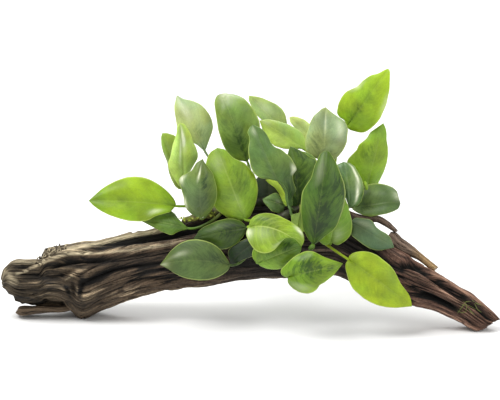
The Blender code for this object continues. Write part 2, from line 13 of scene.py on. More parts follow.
import bpy
import numpy as np
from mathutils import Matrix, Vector


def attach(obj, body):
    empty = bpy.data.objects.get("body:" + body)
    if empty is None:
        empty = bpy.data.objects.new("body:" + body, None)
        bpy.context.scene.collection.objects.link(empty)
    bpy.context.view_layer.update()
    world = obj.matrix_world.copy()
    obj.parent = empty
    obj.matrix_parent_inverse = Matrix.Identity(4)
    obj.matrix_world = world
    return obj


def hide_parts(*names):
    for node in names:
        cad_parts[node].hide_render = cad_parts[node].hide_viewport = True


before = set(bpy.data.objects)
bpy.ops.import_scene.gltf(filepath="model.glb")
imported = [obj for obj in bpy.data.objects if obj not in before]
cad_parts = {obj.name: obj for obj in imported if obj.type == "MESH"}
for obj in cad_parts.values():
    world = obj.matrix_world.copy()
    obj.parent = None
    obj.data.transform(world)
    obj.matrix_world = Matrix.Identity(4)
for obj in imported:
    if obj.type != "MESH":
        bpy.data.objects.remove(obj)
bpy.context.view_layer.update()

print("nodes in the frame:", len(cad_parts))

# %% [markdown]
# Everything is laid out as it is seen from the front, from 15 degrees above the floor:
# millimetres across, millimetres up the view, and depth, away from the viewer. One function
# turns such a place into metres with Z up. A second one draws a smooth line through a few
# places, which is how nearly every form here starts.

# %% Places as they are seen
MM = 0.001
VIEW_TILT = math.radians(15.0)
DEPTH_SHIFT = 3.6        # mm that depth is less by to give y, so that y = 0 is the middle
TO_VIEWER = np.array([0.0, -math.cos(VIEW_TILT), math.sin(VIEW_TILT)])


def seen_at(across, up, depth):
    """(x, y, z) in metres: x is across, y is depth less a shift, and z is chosen so that the
    place shows at that height up the view: (up - depth * sin tilt) / cos tilt."""
    across, up, depth = (np.asarray(value, float) for value in (across, up, depth))
    z = (up - depth * math.sin(VIEW_TILT)) / math.cos(VIEW_TILT)
    return np.stack(np.broadcast_arrays(across, depth - DEPTH_SHIFT, z), axis=-1) * MM


def as_seen(points):
    """The opposite of seen_at: (across, up, depth) in mm of points in metres."""
    x, y, z = np.moveaxis(np.asarray(points) / MM, -1, 0)
    depth = y + DEPTH_SHIFT
    return np.stack([x, z * math.cos(VIEW_TILT) + depth * math.sin(VIEW_TILT), depth], axis=-1)


def unit(vector):
    """Each vector divided by its length."""
    return vector / np.maximum(np.linalg.norm(vector, axis=-1, keepdims=True), 1e-12)


def smooth_at(points, place):
    """Catmull-Rom curve through rows of numbers, read at places counted in rows (0 is the
    first): half of 2b + (c-a)t + (2a-5b+4c-d)t^2 + (3b-a-3c+d)t^3."""
    points = np.asarray(points, float)
    place = np.asarray(place, float)
    padded = np.vstack([2 * points[0] - points[1], points, 2 * points[-1] - points[-2]])
    first = np.clip(place.astype(int), 0, len(points) - 2)
    t = (place - first)[..., None]
    a, b, c, d = (padded[first + i] for i in range(4))
    return 0.5 * (2 * b + (c - a) * t + (2 * a - 5 * b + 4 * c - d) * t ** 2
                  + (3 * b - a - 3 * c + d) * t ** 3)


def smooth_line(points, count):
    """Count points along the Catmull-Rom curve through the given ones."""
    return smooth_at(points, np.linspace(0, len(points) - 1, count))


def read_at(at, where, rows):
    """Rows of numbers that are given at rising values of where, read at other values of it by
    straight lines between them."""
    return np.stack([np.interp(at, where, column) for column in np.asarray(rows).T], axis=-1)


def run_along(line):
    """The length of a line from its start to each of its points."""
    return np.concatenate([[0], np.cumsum(np.linalg.norm(np.diff(line, axis=0), axis=1))])


print("view tilt, degrees:", math.degrees(VIEW_TILT))

# %% [markdown]
# Grown things are never even. The unevenness comes from one noise function: a whole-number
# hash gives each corner of a grid a value from -1 to 1, and the values between are blended.
# Stretching the grid along the wood turns round blotches into long fibres.

# %% Noise on whole arrays


def noise(x, y, z, seed=0):
    """Smooth values from -1 to 1. Each whole-number corner gets a hashed value, and the eight
    round a point are blended with the fade curve 3t^2 - 2t^3."""
    whole, part = [], []
    for value in np.broadcast_arrays(*(np.asarray(v, float) for v in (x, y, z))):
        low = np.floor(value)
        t = value - low
        whole.append(low.astype(np.int64))
        part.append(t * t * (3.0 - 2.0 * t))
    total = np.zeros(part[0].shape)
    for corner in range(8):
        bits = (corner & 1, corner >> 1 & 1, corner >> 2 & 1)
        mix = np.full(total.shape, seed * 9176 + 77, dtype=np.int64)
        weight = np.ones(total.shape)
        for cell, t, bit, prime in zip(whole, part, bits, (374761393, 668265263, 1442695041)):
            mix = mix + (cell + bit) * prime
            weight = weight * (t if bit else 1.0 - t)
        mix = ((mix ^ (mix >> 13)) * 1274126177) & 0xFFFFFFFF
        mix = mix ^ (mix >> 16)
        total += weight * ((mix & 0xFFFF) / 32767.5 - 1.0)
    return total


def smoothstep(value, low, high):
    """0 below low, 1 above high, and 3t^2 - 2t^3 between them."""
    t = np.clip((value - low) / (high - low), 0.0, 1.0)
    return t * t * (3.0 - 2.0 * t)


print("noise, a few values:", np.round(noise(np.arange(4) * 0.7, 0.3, 0.1), 2))

# %% [markdown]
# Every new surface here is a stack of rings that closes in a point at both ends. One function
# turns such rings into a mesh with its faces outwards, and stores numbers with each point,
# such as how deep it lies in a furrow, for the material to read.

# %% Rings to a closed mesh
FIRST_SIDE = (0.31, 0.52, 0.8)     # a way that no tube here starts along


def closed_skin(name, rings, start, end, slot, replaced=(), values=None):
    """A closed mesh through rings (count, sides, 3), closed at the points start and end: four
    neighbours make a face, and faces look away from the rings' middles. Values hold arrays on
    the rings' grid, of numbers or of vectors, that are kept as point attributes."""
    count, sides = rings.shape[:2]
    row, side = np.meshgrid(np.arange(count - 1), np.arange(sides), indexing="ij")
    after = (side + 1) % sides
    quads = np.stack([row * sides + side, row * sides + after, (row + 1) * sides + after,
                      (row + 1) * sides + side], axis=-1).reshape(-1, 4)
    ring = np.arange(sides)
    first, last = count * sides, count * sides + 1
    caps = np.concatenate([
        np.stack([ring, np.full(sides, first), (ring + 1) % sides], axis=-1),
        np.stack([(count - 1) * sides + (ring + 1) % sides, np.full(sides, last),
                  (count - 1) * sides + ring], axis=-1)])
    points = np.vstack([rings.reshape(-1, 3), start, end])
    middle = rings.mean(axis=1, keepdims=True)
    outward = np.einsum("ijk,ijk->", np.cross(np.roll(rings, -1, 1)[:-1] - rings[:-1],
                                              rings[1:] - rings[:-1]), rings[:-1] - middle[:-1])
    if outward < 0:
        quads, caps = quads[:, ::-1], caps[:, ::-1]
    mesh = bpy.data.meshes.new(name)
    mesh.from_pydata(points.tolist(), [], quads.tolist() + caps.tolist())
    mesh.shade_smooth()
    for label, grid in (values or {}).items():
        kind, field = ("FLOAT", "value") if grid.ndim == 2 else ("FLOAT_VECTOR", "vector")
        ends = np.stack([grid[0].mean(axis=0), grid[-1].mean(axis=0)])
        flat = np.concatenate([grid.ravel(), ends.ravel()]).astype(np.float32)
        mesh.attributes.new(label, kind, "POINT").data.foreach_set(field, flat)
    obj = bpy.data.objects.new(name, mesh)
    bpy.context.scene.collection.objects.link(obj)
    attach(obj, "root")
    if replaced:
        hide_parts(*replaced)
    return obj


def joined(name, skins, *replaced):
    """Skins as one object, the first one, which takes the place of those nodes."""
    first = skins[0]
    with bpy.context.temp_override(active_object=first, object=first,
                                   selected_editable_objects=skins, selected_objects=skins):
        bpy.ops.object.join()
    first.name = first.data.name = name
    if replaced:
        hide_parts(*replaced)
    return first


def tube_skin(name, line, size, slot, replaced=(), values=None):
    """A closed tube along a line. Size holds its radii in mm, shaped (count, sides). Each
    ring's sideways vector is the last one's, less what points along the line, so that the tube
    doesn't twist."""
    turn = np.arange(size.shape[1]) * 2 * np.pi / size.shape[1]
    steps = unit(np.gradient(line, axis=0))
    side = unit(np.cross(steps[0], FIRST_SIDE))
    rings = []
    for point, step, radius in zip(line, steps, size * MM):
        side = unit(side - step * (side @ step))
        out = np.cos(turn)[:, None] * side + np.sin(turn)[:, None] * np.cross(step, side)
        rings.append(point + radius[:, None] * out)
    return closed_skin(name, np.array(rings), line[0], line[-1], slot, replaced, values)


print("helpers for closed surfaces are ready")

# %% [markdown]
# Materials are small graphs of nodes. A short helper adds a node and fills or links its
# sockets, and another one opens a node group with named inputs and outputs.

# %% Node helpers


def fill(tree, made, **inputs):
    """Gives a node its inputs, by the socket's name with _ for a space, or as in0, in1 ... by
    number. A socket is linked, and a value is set."""
    for key, value in inputs.items():
        numbered = key[:2] == "in" and key[2:].isdigit()
        socket = made.inputs[int(key[2:]) if numbered else key.replace("_", " ")]
        if isinstance(value, bpy.types.NodeSocket):
            tree.links.new(value, socket)
        else:
            socket.default_value = value
    return made


def add(tree, kind, settings=None, **inputs):
    """A node of that kind with those properties of its own and those inputs."""
    made = tree.nodes.new("ShaderNode" + kind)
    for key, value in (settings or {}).items():
        setattr(made, key, value)
    return fill(tree, made, **inputs)


def maths(tree, operation, *values, clamp=False):
    """The result of a Math node on values or sockets."""
    made = add(tree, "Math", {"operation": operation, "use_clamp": clamp},
               **{f"in{i}": value for i, value in enumerate(values)})
    return made.outputs[0]


def plus(tree, first, second):
    """first + second."""
    return maths(tree, "ADD", first, second)


def minus(tree, first, second):
    """first - second."""
    return maths(tree, "SUBTRACT", first, second)


def times(tree, first, second, clamp=False):
    """first * second, kept between 0 and 1 if it is clamped."""
    return maths(tree, "MULTIPLY", first, second, clamp=clamp)


def cloudy(tree, at, scale, detail, **more):
    """The value of a Noise Texture node, mostly from 0.3 to 0.7, at those coordinates."""
    return add(tree, "TexNoise", Vector=at, Scale=scale, Detail=detail, **more).outputs[0]


def blend(tree, share, first, second, how="MIX"):
    """A colour between first and second, by share."""
    settings = {"data_type": "RGBA", "blend_type": how}
    return add(tree, "Mix", settings, in0=share, in6=first, in7=second).outputs[2]


def tinted(tree, colour, by):
    """A colour multiplied by another one or by a value."""
    return blend(tree, 1.0, colour, by, "MULTIPLY")


def spread(tree, value, low, high, to_low=0.0, to_high=1.0):
    """Value from low to high turned smoothly into to_low to to_high."""
    made = add(tree, "MapRange", {"interpolation_type": "SMOOTHSTEP"}, in0=value, in1=low,
               in2=high, in3=to_low, in4=to_high)
    return made.outputs[0]


def stored(tree, label, output="Fac"):
    """The value of a point attribute, or with the output Vector its vector."""
    made = add(tree, "Attribute", {"attribute_name": label, "attribute_type": "GEOMETRY"})
    return made.outputs[output]


def object_place(tree):
    """The place on the object, in metres."""
    return add(tree, "TexCoord").outputs["Object"]


def new_group(name, inputs, outputs):
    """An empty node group. Inputs and outputs are (name, kind, default) and (name, kind)."""
    tree = bpy.data.node_groups.new(name, "ShaderNodeTree")
    for label, kind, default in inputs:
        socket = tree.interface.new_socket(label, in_out="INPUT", socket_type="NodeSocket" + kind)
        socket.default_value = default
    for label, kind in outputs:
        tree.interface.new_socket(label, in_out="OUTPUT", socket_type="NodeSocket" + kind)
    return tree, tree.nodes.new("NodeGroupInput"), tree.nodes.new("NodeGroupOutput")


def srgb(red, green, blue):
    """A colour as a screen shows it, 0 to 255, as the linear colour a shader takes."""
    share = np.array([red, green, blue]) / 255.0
    linear = np.where(share <= 0.04045, share / 12.92, ((share + 0.055) / 1.055) ** 2.4)
    return (*linear.tolist(), 1.0)


print("tan ridge, linear:", np.round(srgb(190, 175, 150), 3))

# %% [markdown]
# ## The driftwood
#
# The wood has lain in water until its soft parts were gone. What is left is hard ridges with
# furrows between them, a knot with hollows round it, and thousands of fine fibres along its
# length. It could be sculpted or displaced by a picture. Here its form is a table of sections,
# as in the solid, and each furrow and ridge is a line with a bell-shaped profile.

# %% The trunk's sections
Section = namedtuple("Section", "top bottom depth half_depth")
TRUNK = [Section(*row) for row in [
    ((-155.6, 26.5), (-155.6, 20.8), 8, 6), ((-154.2, 32.5), (-154.0, 18.8), 8, 11),
    ((-151.5, 36.0), (-151.5, 16.2), 8, 14), ((-147.8, 37.8), (-148.3, 12.8), 8, 16),
    ((-144.0, 38.4), (-144.0, 10.8), 8, 17.5), ((-136.5, 38.4), (-136.5, 10.6), 8, 18),
    ((-132.0, 38.8), (-131.5, 10.8), 8, 18.5), ((-129.0, 44.4), (-128.5, 11.2), 8, 19),
    ((-125.2, 46.2), (-125.2, 11.4), 8, 19.5), ((-119.5, 47.0), (-120.2, 10.8), 8.5, 20),
    ((-115.2, 47.8), (-115.2, 7.6), 9, 20.5), ((-111.5, 48.5), (-111.5, 5.0), 9.5, 21),
    ((-109.0, 48.9), (-109.0, 2.4), 10, 21.5), ((-105.2, 49.5), (-105.2, 0.8), 10, 22),
    ((-100.2, 50.2), (-100.8, 2.2), 9.5, 22), ((-94.0, 51.0), (-94.6, 5.8), 8.5, 21.5),
    ((-84.6, 53.3), (-85.8, 9.6), 7, 21.5), ((-74.0, 55.4), (-75.2, 13.6), 5.5, 21),
    ((-62.8, 57.7), (-64.0, 16.7), 4, 20.5), ((-50.2, 60.2), (-51.5, 18.9), 2.5, 20),
    ((-34.6, 64.5), (-36.5, 20.5), 1, 20), ((-19.0, 68.3), (-20.8, 22.0), 0, 20),
    ((-3.4, 70.8), (-5.2, 24.8), -1, 19.5), ((12.2, 72.7), (9.8, 26.1), -2, 19),
    ((27.8, 73.3), (25.4, 26.4), -3, 18.5), ((43.4, 73.3), (39.8, 28.0), -4, 18),
    ((59.0, 70.2), (52.2, 28.3), -6, 17.5), ((71.5, 60.8), (62.2, 24.6), -8, 17),
    ((81.0, 53.3), (71.0, 19.6), -10, 16.5), ((89.0, 45.8), (79.8, 15.5), -12, 16),
    ((98.5, 40.8), (89.0, 12.7), -13.5, 15), ((106.0, 35.8), (96.5, 10.5), -15, 14.5),
    ((116.5, 29.8), (106.0, 8.9), -16.5, 14), ((124.8, 25.2), (115.4, 6.4), -17.5, 13.5),
    ((132.2, 20.5), (123.5, 3.0), -18.5, 12.5), ((138.5, 16.8), (130.4, 0.0), -19.5, 11.5),
    ((144.0, 12.4), (135.4, -3.2), -20.5, 10.5), ((149.0, 8.0), (139.8, -5.4), -21, 9),
    ((152.8, 4.6), (142.6, -5.8), -21.5, 7.5), ((155.6, 1.8), (146.4, -4.4), -22, 5),
]]
WOOD_SQUARENESS = 2.4
print("sections of the trunk:", len(TRUNK))

# %% [markdown]
# The broad forms are creases, lines of (across, angle round the wood, height) points with a
# width in degrees. They are those of the solid, but for the ridge beside the knot, which is
# lower here. The finer ones are drawn as they are seen from the front: lines of (across, up,
# height) points with a width in mm. The height falls off as a bell curve of the distance.

# %% Broad creases and fine furrows
Drawn = namedtuple("Drawn", "width points")
CREASES = [Drawn(*row) for row in [
    (15, [(-106, 72, 0), (-94, 67, -4), (-78, 61, -7), (-60, 56, -9), (-32, 52, -8), (0, 50, 0)]),
    (9, [(-150, -5, 0), (-137, 35, 1), (-120, 40, 1.5), (-104, 52, 1.5), (-94, 48, 2), (-75, 33, 2),
        (-45, 27, 1.5), (-10, 24, 0)]),
    (9, [(-136, 20, 0), (-122, 18, -2), (-114, 30, -3), (-104, 33, -2.5), (-85, 24, -1.5), (-40, 16, 0)]),
    (9, [(-110, -8, 0), (-100, -3, -3), (-85, 3, -3), (-60, -6, -2), (-30, -8, 0)]),
    (10, [(-118, -4, 0), (-109, -7, 2), (-103, -12, 0)]),
    (9, [(-80, -30, 0), (-62, -36, -2), (-20, -36, -1.5), (40, -30, 0)]),
    (10, [(92, 64, 0), (99, 61, -5), (112, 50, -4), (125, 38, -3), (138, 34, 0)]),
    (10, [(88, 22, 0), (100, 26, 1.5), (125, 14, 2), (142, 10, 0)]),
    (11, [(94, -18, 0), (106, -24, -5), (122, -27, -4.5), (131, -30, 0)]),
    (16, [(-140, 165, 0), (-110, 168, -3), (-50, 172, -4), (20, 160, -3), (70, 166, 0)]),
    (13, [(-130, 135, 0), (-80, 138, 2), (0, 132, 2), (60, 140, 0)]),
    (14, [(-90, 205, 0), (-40, 208, -3), (60, 200, -3.5), (120, 196, 0)]),
    (18, [(-70, 265, 0), (-20, 268, -3), (40, 262, -3), (90, 268, 0)]),
]]

FURROWS = [Drawn(*row) for row in [
    # the long pale ridge and the dark lines along both its sides
    (1.6, [(-149, 26, 0), (-138.5, 31.5, 1), (-130, 36, 1.4), (-123, 39.5, 1.6), (-114, 42, 1.6),
        (-106, 41.5, 1.5), (-97, 41.5, 1.4), (-88, 43.3, 1.3), (-74.5, 44.5, 1.2), (-59, 47.3, 1),
        (-47, 50.5, 0.6), (-37, 53.5, 0)]),
    (1.5, [(-101, 44, 0), (-94, 46, -2.6), (-86, 47, -3), (-78, 48.3, -3), (-66, 50, -3.2), (-55, 52, -3),
        (-43, 53, -2), (-25, 54, 0)]),
    (1.3, [(-131, 31.5, 0), (-123.5, 33.8, -2), (-119, 36, -2.6), (-112.5, 37.6, -2.8), (-106, 38.7, -2.6),
        (-97, 38.3, -2.4), (-86, 39.5, -1.8), (-78, 40.8, -1.4), (-56, 44.5, -1), (-40, 47.5, 0)]),
    (1.3, [(-142, 29.5, 0), (-133, 28.9, -1.4), (-123.5, 27.4, -2), (-117, 28.9, -2.2), (-112.5, 31.4, -2),
        (-107, 33.6, 0)]),
    (1.2, [(-129, 25.5, 0.3), (-119, 25.2, 1.2), (-112.5, 28.6, 1.3), (-106, 31.4, 1), (-100, 34, 0)]),
    # the knot: pale flames with hollows between them
    (1.5, [(-112, 26, 0), (-110.5, 21, -3.6), (-110, 15.8, -3.2), (-108, 12.5, 0)]),
    (1.2, [(-116, 22, 0), (-114.3, 19.5, -3), (-112.8, 16.4, -2.4), (-112, 14, 0)]),
    (1.4, [(-106.5, 27, 0), (-105, 22.5, -3.2), (-106.5, 16.4, -3), (-109, 13.5, 0)]),
    (1.0, [(-109, 24, 0), (-108, 20, 1.6), (-108.6, 15, 1.2), (-109.5, 12, 0)]),
    (1.4, [(-108, 20, 0), (-101.8, 25.8, -2.6), (-97, 28.3, -3), (-91.7, 30.2, -2.8), (-84.6, 32.4, -2.6),
        (-75.3, 33.6, -2.2), (-62.8, 36, -2), (-56, 36.7, -1.6), (-40, 39, 0)]),
    (1.4, [(-95, 17, 0), (-77, 23.5, -1), (-62.8, 25.8, -1.4), (-47, 27.4, -1.3), (-38, 26.6, -1),
        (-15, 28, 0)]),
    (1.8, [(-106, 9, 0), (-94, 16.4, 0.8), (-78, 21, 0.8), (-56, 25, 0.6), (-30, 28, 0)]),
    # the left end
    (0.9, [(-149, 34, 0), (-146.5, 34.5, -1.4), (-141.5, 34, -1.4), (-139, 33.7, 0)]),
    (0.9, [(-151, 30.5, 0), (-147, 31.5, -0.9), (-140, 32.2, 0)]),
    (1.5, [(-150, 22, 0.4), (-140.8, 23.5, 1), (-126.7, 24, 1), (-119.7, 25.2, 0)]),
    (1.0, [(-151, 18.5, 0), (-145, 17.4, -1.3), (-134.5, 15.6, -1.3), (-131, 14, 0)]),
    (1.0, [(-147, 20.3, 0), (-137, 19.7, -1.1), (-127, 18.8, -0.9), (-118, 17.5, 0)]),
    (1.2, [(-136, 13.6, 0), (-133, 13.3, -2), (-125, 11, -2.6), (-116, 10.2, -2.4), (-109, 9.6, 0)]),
    # the right limb: black hollows, a pale ridge between them, striped bands
    (2.3, [(93, 35.5, 0), (95.5, 35.8, -4.5), (100, 35.6, -5), (106, 32.7, -4.4), (110, 29.6, -3.6),
        (115, 26.5, -3), (118, 23.3, -2.4)]),
    (1.5, [(95, 31, 0), (103.5, 29, 1.4), (108.5, 26.4, 1.6), (115, 22.7, 1.7), (120, 19.6, 1.7),
        (125, 16.4, 1.5), (131, 12.7, 1.2), (137.5, 8.3, 0)]),
    (2.3, [(105, 18, 0), (107.5, 17, -3.6), (112.5, 15.2, -4.6), (118.5, 12, -4.6), (125, 9, -4),
        (130, 6.4, -2), (133, 5, 0)]),
    (2.2, [(96, 23.5, 0), (103.5, 21, -2), (109, 21.5, -1.8), (115, 20.8, 0)]),
    (1.2, [(116, 24, 0), (118.5, 20.8, -2.4), (125, 17, -3), (131, 13.3, -3), (137, 10.2, -2.4),
        (143.5, 6.4, 0)]),
    (1.2, [(109, 34, 0), (118.5, 28.3, 1), (131, 20.2, 1), (143.5, 12, 0.9), (152, 6, 0)]),
    (0.7, [(107, 36, 0), (120, 28.8, -1), (134, 19.5, -1), (147, 10.5, 0)]),
    (1.4, [(98, 10.5, 0), (118.5, 5.8, 0.9), (131, 0.8, 1), (143.5, -4.8, 0)]),
    (1.1, [(108, 10, 0), (122, 5.5, -1), (134, 0.5, -1.2), (146, -3, 0)]),
    (2.0, [(138, 5.5, 0), (143, 4, -1.6), (148, 1.5, -1.4), (151, 0, 0)]),
    (2.6, [(76, 44, 0), (84, 43.5, 1.6), (92, 40.5, 1.6), (100, 38, 0)]),
    (1.4, [(78, 36, 0), (86, 37.5, -1.8), (93, 35.5, -2), (98, 33, 0)]),
]]


def crease_height(across, angle):
    """Height in mm of the broad creases: the sum over creases of the number at that place
    across times exp(-(angle to the crease's line / width)^2)."""
    height = np.zeros(np.broadcast(across, angle).shape)
    for crease in CREASES:
        x, line, peak = (list(values) for values in zip(*crease.points))
        away = (angle - np.interp(across, x, line) + 180.0) % 360.0 - 180.0
        here = np.interp(across, x, peak, left=0.0, right=0.0)
        height += here * np.exp(-(away / crease.width) ** 2)
    return height


def drawn_height(lines, across, up):
    """The sum over drawn lines, at places in the view: for each line, the number at its
    nearest point times exp(-(distance / width)^2)."""
    spot = np.stack([across, up], axis=-1)
    height = np.zeros(across.shape)
    for drawn in lines:
        line = np.array(drawn.points, float)
        near = np.full(across.shape, 1e9)
        peak = np.zeros(across.shape)
        for a, b in zip(line[:-1], line[1:]):
            step = b[:2] - a[:2]
            t = np.clip((spot - a[:2]) @ step / (step @ step), 0.0, 1.0)
            away = np.linalg.norm(spot - a[:2] - t[..., None] * step, axis=-1)
            closer = away < near
            near = np.where(closer, away, near)
            peak = np.where(closer, a[2] + t * (b[2] - a[2]), peak)
        height += peak * np.exp(-(near / drawn.width) ** 2)
    return height


print("broad creases:", len(CREASES), "and fine furrows:", len(FURROWS))

# %% [markdown]
# Wood that has dried and been rubbed is pale, and the hollows hold dirt. The lines below paint
# that, and light and shade with it: the same kind of line as a furrow, with paleness for its
# height, less than zero for darkness. Pale lines are dust and painted light on the crests, and a
# painted rim of light at the left end. Dark lines are dirt and painted shade in the hollows, under
# the ridges and under the leaves. The material turns that into colour.

# %% Dust, dirt, painted light and painted shade
TONES = [Drawn(*row) for row in [
    # dust and painted light on the top crest and on the long ridge below it
    (1.7, [(-128.4, 42.7, 0.3), (-120.2, 43.9, 0.5), (-111.5, 45.5, 0.7), (-100.9, 47.7, 0.9),
        (-87.1, 50.2, 1.1), (-73.4, 53.3, 1.1), (-59.3, 56.2, 1), (-50.2, 58, 0.7), (-42.8, 59.6, 0)]),
    (1.1, [(-146.1, 29.6, 0.5), (-135.7, 33.1, 0.8), (-125.2, 38.7, 0.6), (-117.8, 41.4, 0.8),
        (-107.8, 42.5, 0.9), (-100.9, 42.5, 1), (-94, 42.8, 1), (-87.1, 43.5, 0.8), (-73.4, 44.9, 0.8),
        (-66.2, 45.9, 0.7), (-56.5, 47, 0.8), (-49, 48.3, 0.5), (-42.8, 50.2, 0)]),
    # the left end: a dry top, a painted rim of light, and pale flames of the knot
    (1.5, [(-150.9, 36.4, 0.4), (-144, 37.4, 0.6), (-134.6, 37.1, 0.5), (-130.2, 37.1, 0)]),
    (0.7, [(-152.4, 35.5, 0.6), (-154.3, 31.4, 0.6), (-155.4, 25.8, 0.5), (-155.4, 21.4, 0.3)]),
    (0.8, [(-122.1, 23.9, 0.3), (-117.1, 25.2, 0.5), (-111.5, 28, 0.5)]),
    # dark hollows on the left: dirt and painted shade, most of all under the ridges
    (2.1, [(-97.8, 43.9, -0.6), (-90.9, 45.8, -1), (-81.5, 47.7, -1.1), (-72.1, 49.6, -1.2),
        (-62.8, 51.1, -1.2), (-53.4, 52.7, -1.1), (-44, 53.9, -0.8)]),
    (3.6, [(-112.8, 37.1, -0.4), (-100.2, 37.1, -0.7), (-81.5, 37.7, -0.8), (-62.8, 40.2, -0.8),
        (-47.1, 43.3, -0.7)]),
    (2.8, [(-141.5, 26.4, -0.6), (-134.6, 27.7, -1), (-126.5, 26.4, -1), (-119, 25.8, -0.8)]),
    (1.3, [(-115.2, 21.4, -1), (-114, 17.7, -1.1), (-112.8, 15.2, -0.8)]),
    (1.2, [(-105.2, 30.8, -0.5), (-104.6, 25.8, -1), (-105.6, 20.8, -1), (-107.1, 17.1, -0.7)]),
    (1, [(-104, 22.7, -0.9), (-100.2, 26.4, -1), (-95.9, 29.3, -1), (-87.1, 31.9, -0.9),
        (-73.4, 34.1, -0.8), (-56.5, 36.6, -0.8), (-44, 38.9, -0.6)]),
    (1.5, [(-146.5, 13.9, -0.5), (-139, 13.3, -0.8), (-131.5, 11.4, -1), (-122.1, 10.8, -0.9),
        (-117.8, 10.5, -0.5)]),
    (3.4, [(-107.5, 8.5, -0.3), (-101.4, 12.5, -0.45), (-87.8, 19.0, -0.4), (-62.8, 23.3, -0.2)]),
    (2.6, [(-113.5, 26.5, -0.2), (-110.5, 20, -0.45), (-110, 12, -0.4)]),
    # the right limb: tan crests, dust and painted light
    (1.1, [(96.6, 30.4, 0.2), (104.8, 28.3, 0.4), (116.2, 22.2, 0.8), (123.5, 16.4, 0.9),
        (129.1, 12.1, 0.7)]),
    (1.3, [(113.5, 30.8, 0.5), (118.5, 28.3, 0.9), (126, 23.6, 1), (137.4, 15.7, 0.8), (149.6, 7.6, 0.5)]),
    (0.8, [(101.6, 11.6, 0.2), (113, 8.4, 0.4), (125.2, 3.5, 0.4), (137.4, -3.1, 0.3)]),
    # the right limb: black hollows, dirt and painted shade
    (1.5, [(94.2, 35.6, -1), (100, 33.6, -1.1), (108.1, 28.7, -0.8), (114.6, 23.8, -0.4)]),
    (1.7, [(108.1, 16.5, -0.9), (113, 16.5, -1.1), (121.1, 12.4, -1.1), (129.2, 7.6, -0.9)]),
    (1.6, [(132.6, 15.7, -0.6), (141.5, 9.2, -0.9), (148, 5.1, -0.7)]),
    (1, [(116.2, 23.8, -0.9), (125.2, 17.3, -1), (131.8, 12.4, -0.8)]),
    # painted shade on the wood under the leaves, right of the middle
    (5, [(54.8, 52.1, -0.9), (63.5, 47.1, -0.9), (71, 44.6, -0.9), (78.5, 42.1, -0.5)]),
    (2.2, [(-144, 22.7, -0.2), (-135.2, 19.6, -0.5), (-125.2, 19.6, -0.6), (-117.8, 19.6, -0.4)]),
    (0.7, [(-142.8, 34.6, -0.2), (-137.8, 31.8, -0.9), (-129, 34.6, -0.9), (-121.5, 37.1, -0.9),
        (-115.2, 39.3, -0.7)]),
    (0.7, [(-137.8, 23.3, -0.5), (-127.8, 23.9, -0.8), (-119, 23.3, -0.5)]),
    (0.6, [(-97.1, 46.4, 0.3), (-90.2, 46.7, 0.9), (-84, 48.3, 0.4)]),
    (0.7, [(126, 13.3, -0.5), (132.2, 9.6, -0.9), (139.8, 4.6, -0.9), (146, 0.8, -0.6)]),
    (0.6, [(118.5, 27.4, -0.4), (127.9, 20.8, -0.8), (137.2, 13.9, -0.8), (146, 8.3, -0.5)]),
    (0.7, [(104.8, 13.3, -0.3), (116, 9.6, -0.7), (126, 4.9, -0.8), (136, -0.1, -0.6)]),
    (0.8, [(88.5, 44.6, -0.5), (93.5, 40.8, -0.9), (98.5, 39.3, -0.7)]),
    (2.4, [(-153.6, 31.4, 0.4), (-150.6, 28.6, 0.45), (-149.6, 25.6, 0.45), (-145.5, 24.2, 0.3),
        (-139.5, 24.6, 0.15)]),
    (1.6, [(-149.5, 17.5, -0.2), (-143.5, 15.5, -0.4)]),
    (1.4, [(-115.0, 34.6, -0.4), (-109.5, 35.2, -0.6), (-104.0, 33.0, -0.5)]),
    (1.8, [(-106.5, 24.0, -0.5), (-106.8, 18.0, -0.6), (-105.8, 12.5, -0.4)]),
    (1.3, [(-126.0, 21.0, -0.5), (-119.0, 21.8, -0.6), (-113.5, 21.4, -0.5)]),
    (0.7, [(-149.4, 34.4, -0.6), (-146.6, 34.0, -1), (-141.4, 33.2, -0.8)]),
    (0.6, [(-151.2, 31.4, -0.5), (-146.8, 31.8, -0.9), (-142.0, 31.0, -0.6)]),
    (0.6, [(-149.0, 15.2, -0.6), (-144.6, 14.8, -0.9), (-138.6, 14.6, -0.7)]),
    (0.7, [(-133.4, 9.9, -0.9), (-126.4, 10.6, -1.1), (-119.0, 9.6, -0.9)]),
    (1.6, [(96.6, 26.4, -0.4), (106, 23.3, -0.6), (113.5, 19.6, -0.4)]),
]]
PALE_DUST_AND_LIGHT = [line for line in TONES if line.points[1][2] > 0]
print("lines of dust:", len(PALE_DUST_AND_LIGHT), "and of dirt:", len(TONES) - len(PALE_DUST_AND_LIGHT))

# %% [markdown]
# Fibres are noise stretched along the wood. Folding the noise at zero makes round crests with
# sharp valleys, and keeping only its values near zero makes long thin cracks.

# %% Fibres and cracks
WOOD_ROUND = 20.0        # radius in mm that the fibres are laid round


def fibres(across, angle, seed=0):
    """Height in mm of the fibres: stretched noise in three sizes. Its absolute value makes
    round crests with sharp valleys, and a fourth noise makes cracks where it passes zero."""
    turn = np.radians(angle)
    bend = 2.0 * noise(across / 45.0, np.cos(turn) * 1.3, np.sin(turn) * 1.3, seed + 5)
    y, z = WOOD_ROUND * np.cos(turn) + bend, WOOD_ROUND * np.sin(turn) + bend
    broad = noise(across / 34.0, y / 6.5, z / 6.5, seed)
    folds = abs(noise(across / 26.0, y / 2.8, z / 2.8, seed + 1)) ** 0.7 - 0.45
    fine = abs(noise(across / 15.0, y / 1.3, z / 1.3, seed + 2)) ** 0.7 - 0.45
    crumbs = noise(across / 2.2, y / 1.1, z / 1.1, seed + 3)
    crack = np.exp(-(noise(across / 30.0, y / 3.4, z / 3.4, seed + 4) / 0.06) ** 2)
    return 0.7 * broad + 1.3 * folds + 1.0 * fine + 0.12 * crumbs - 1.4 * crack


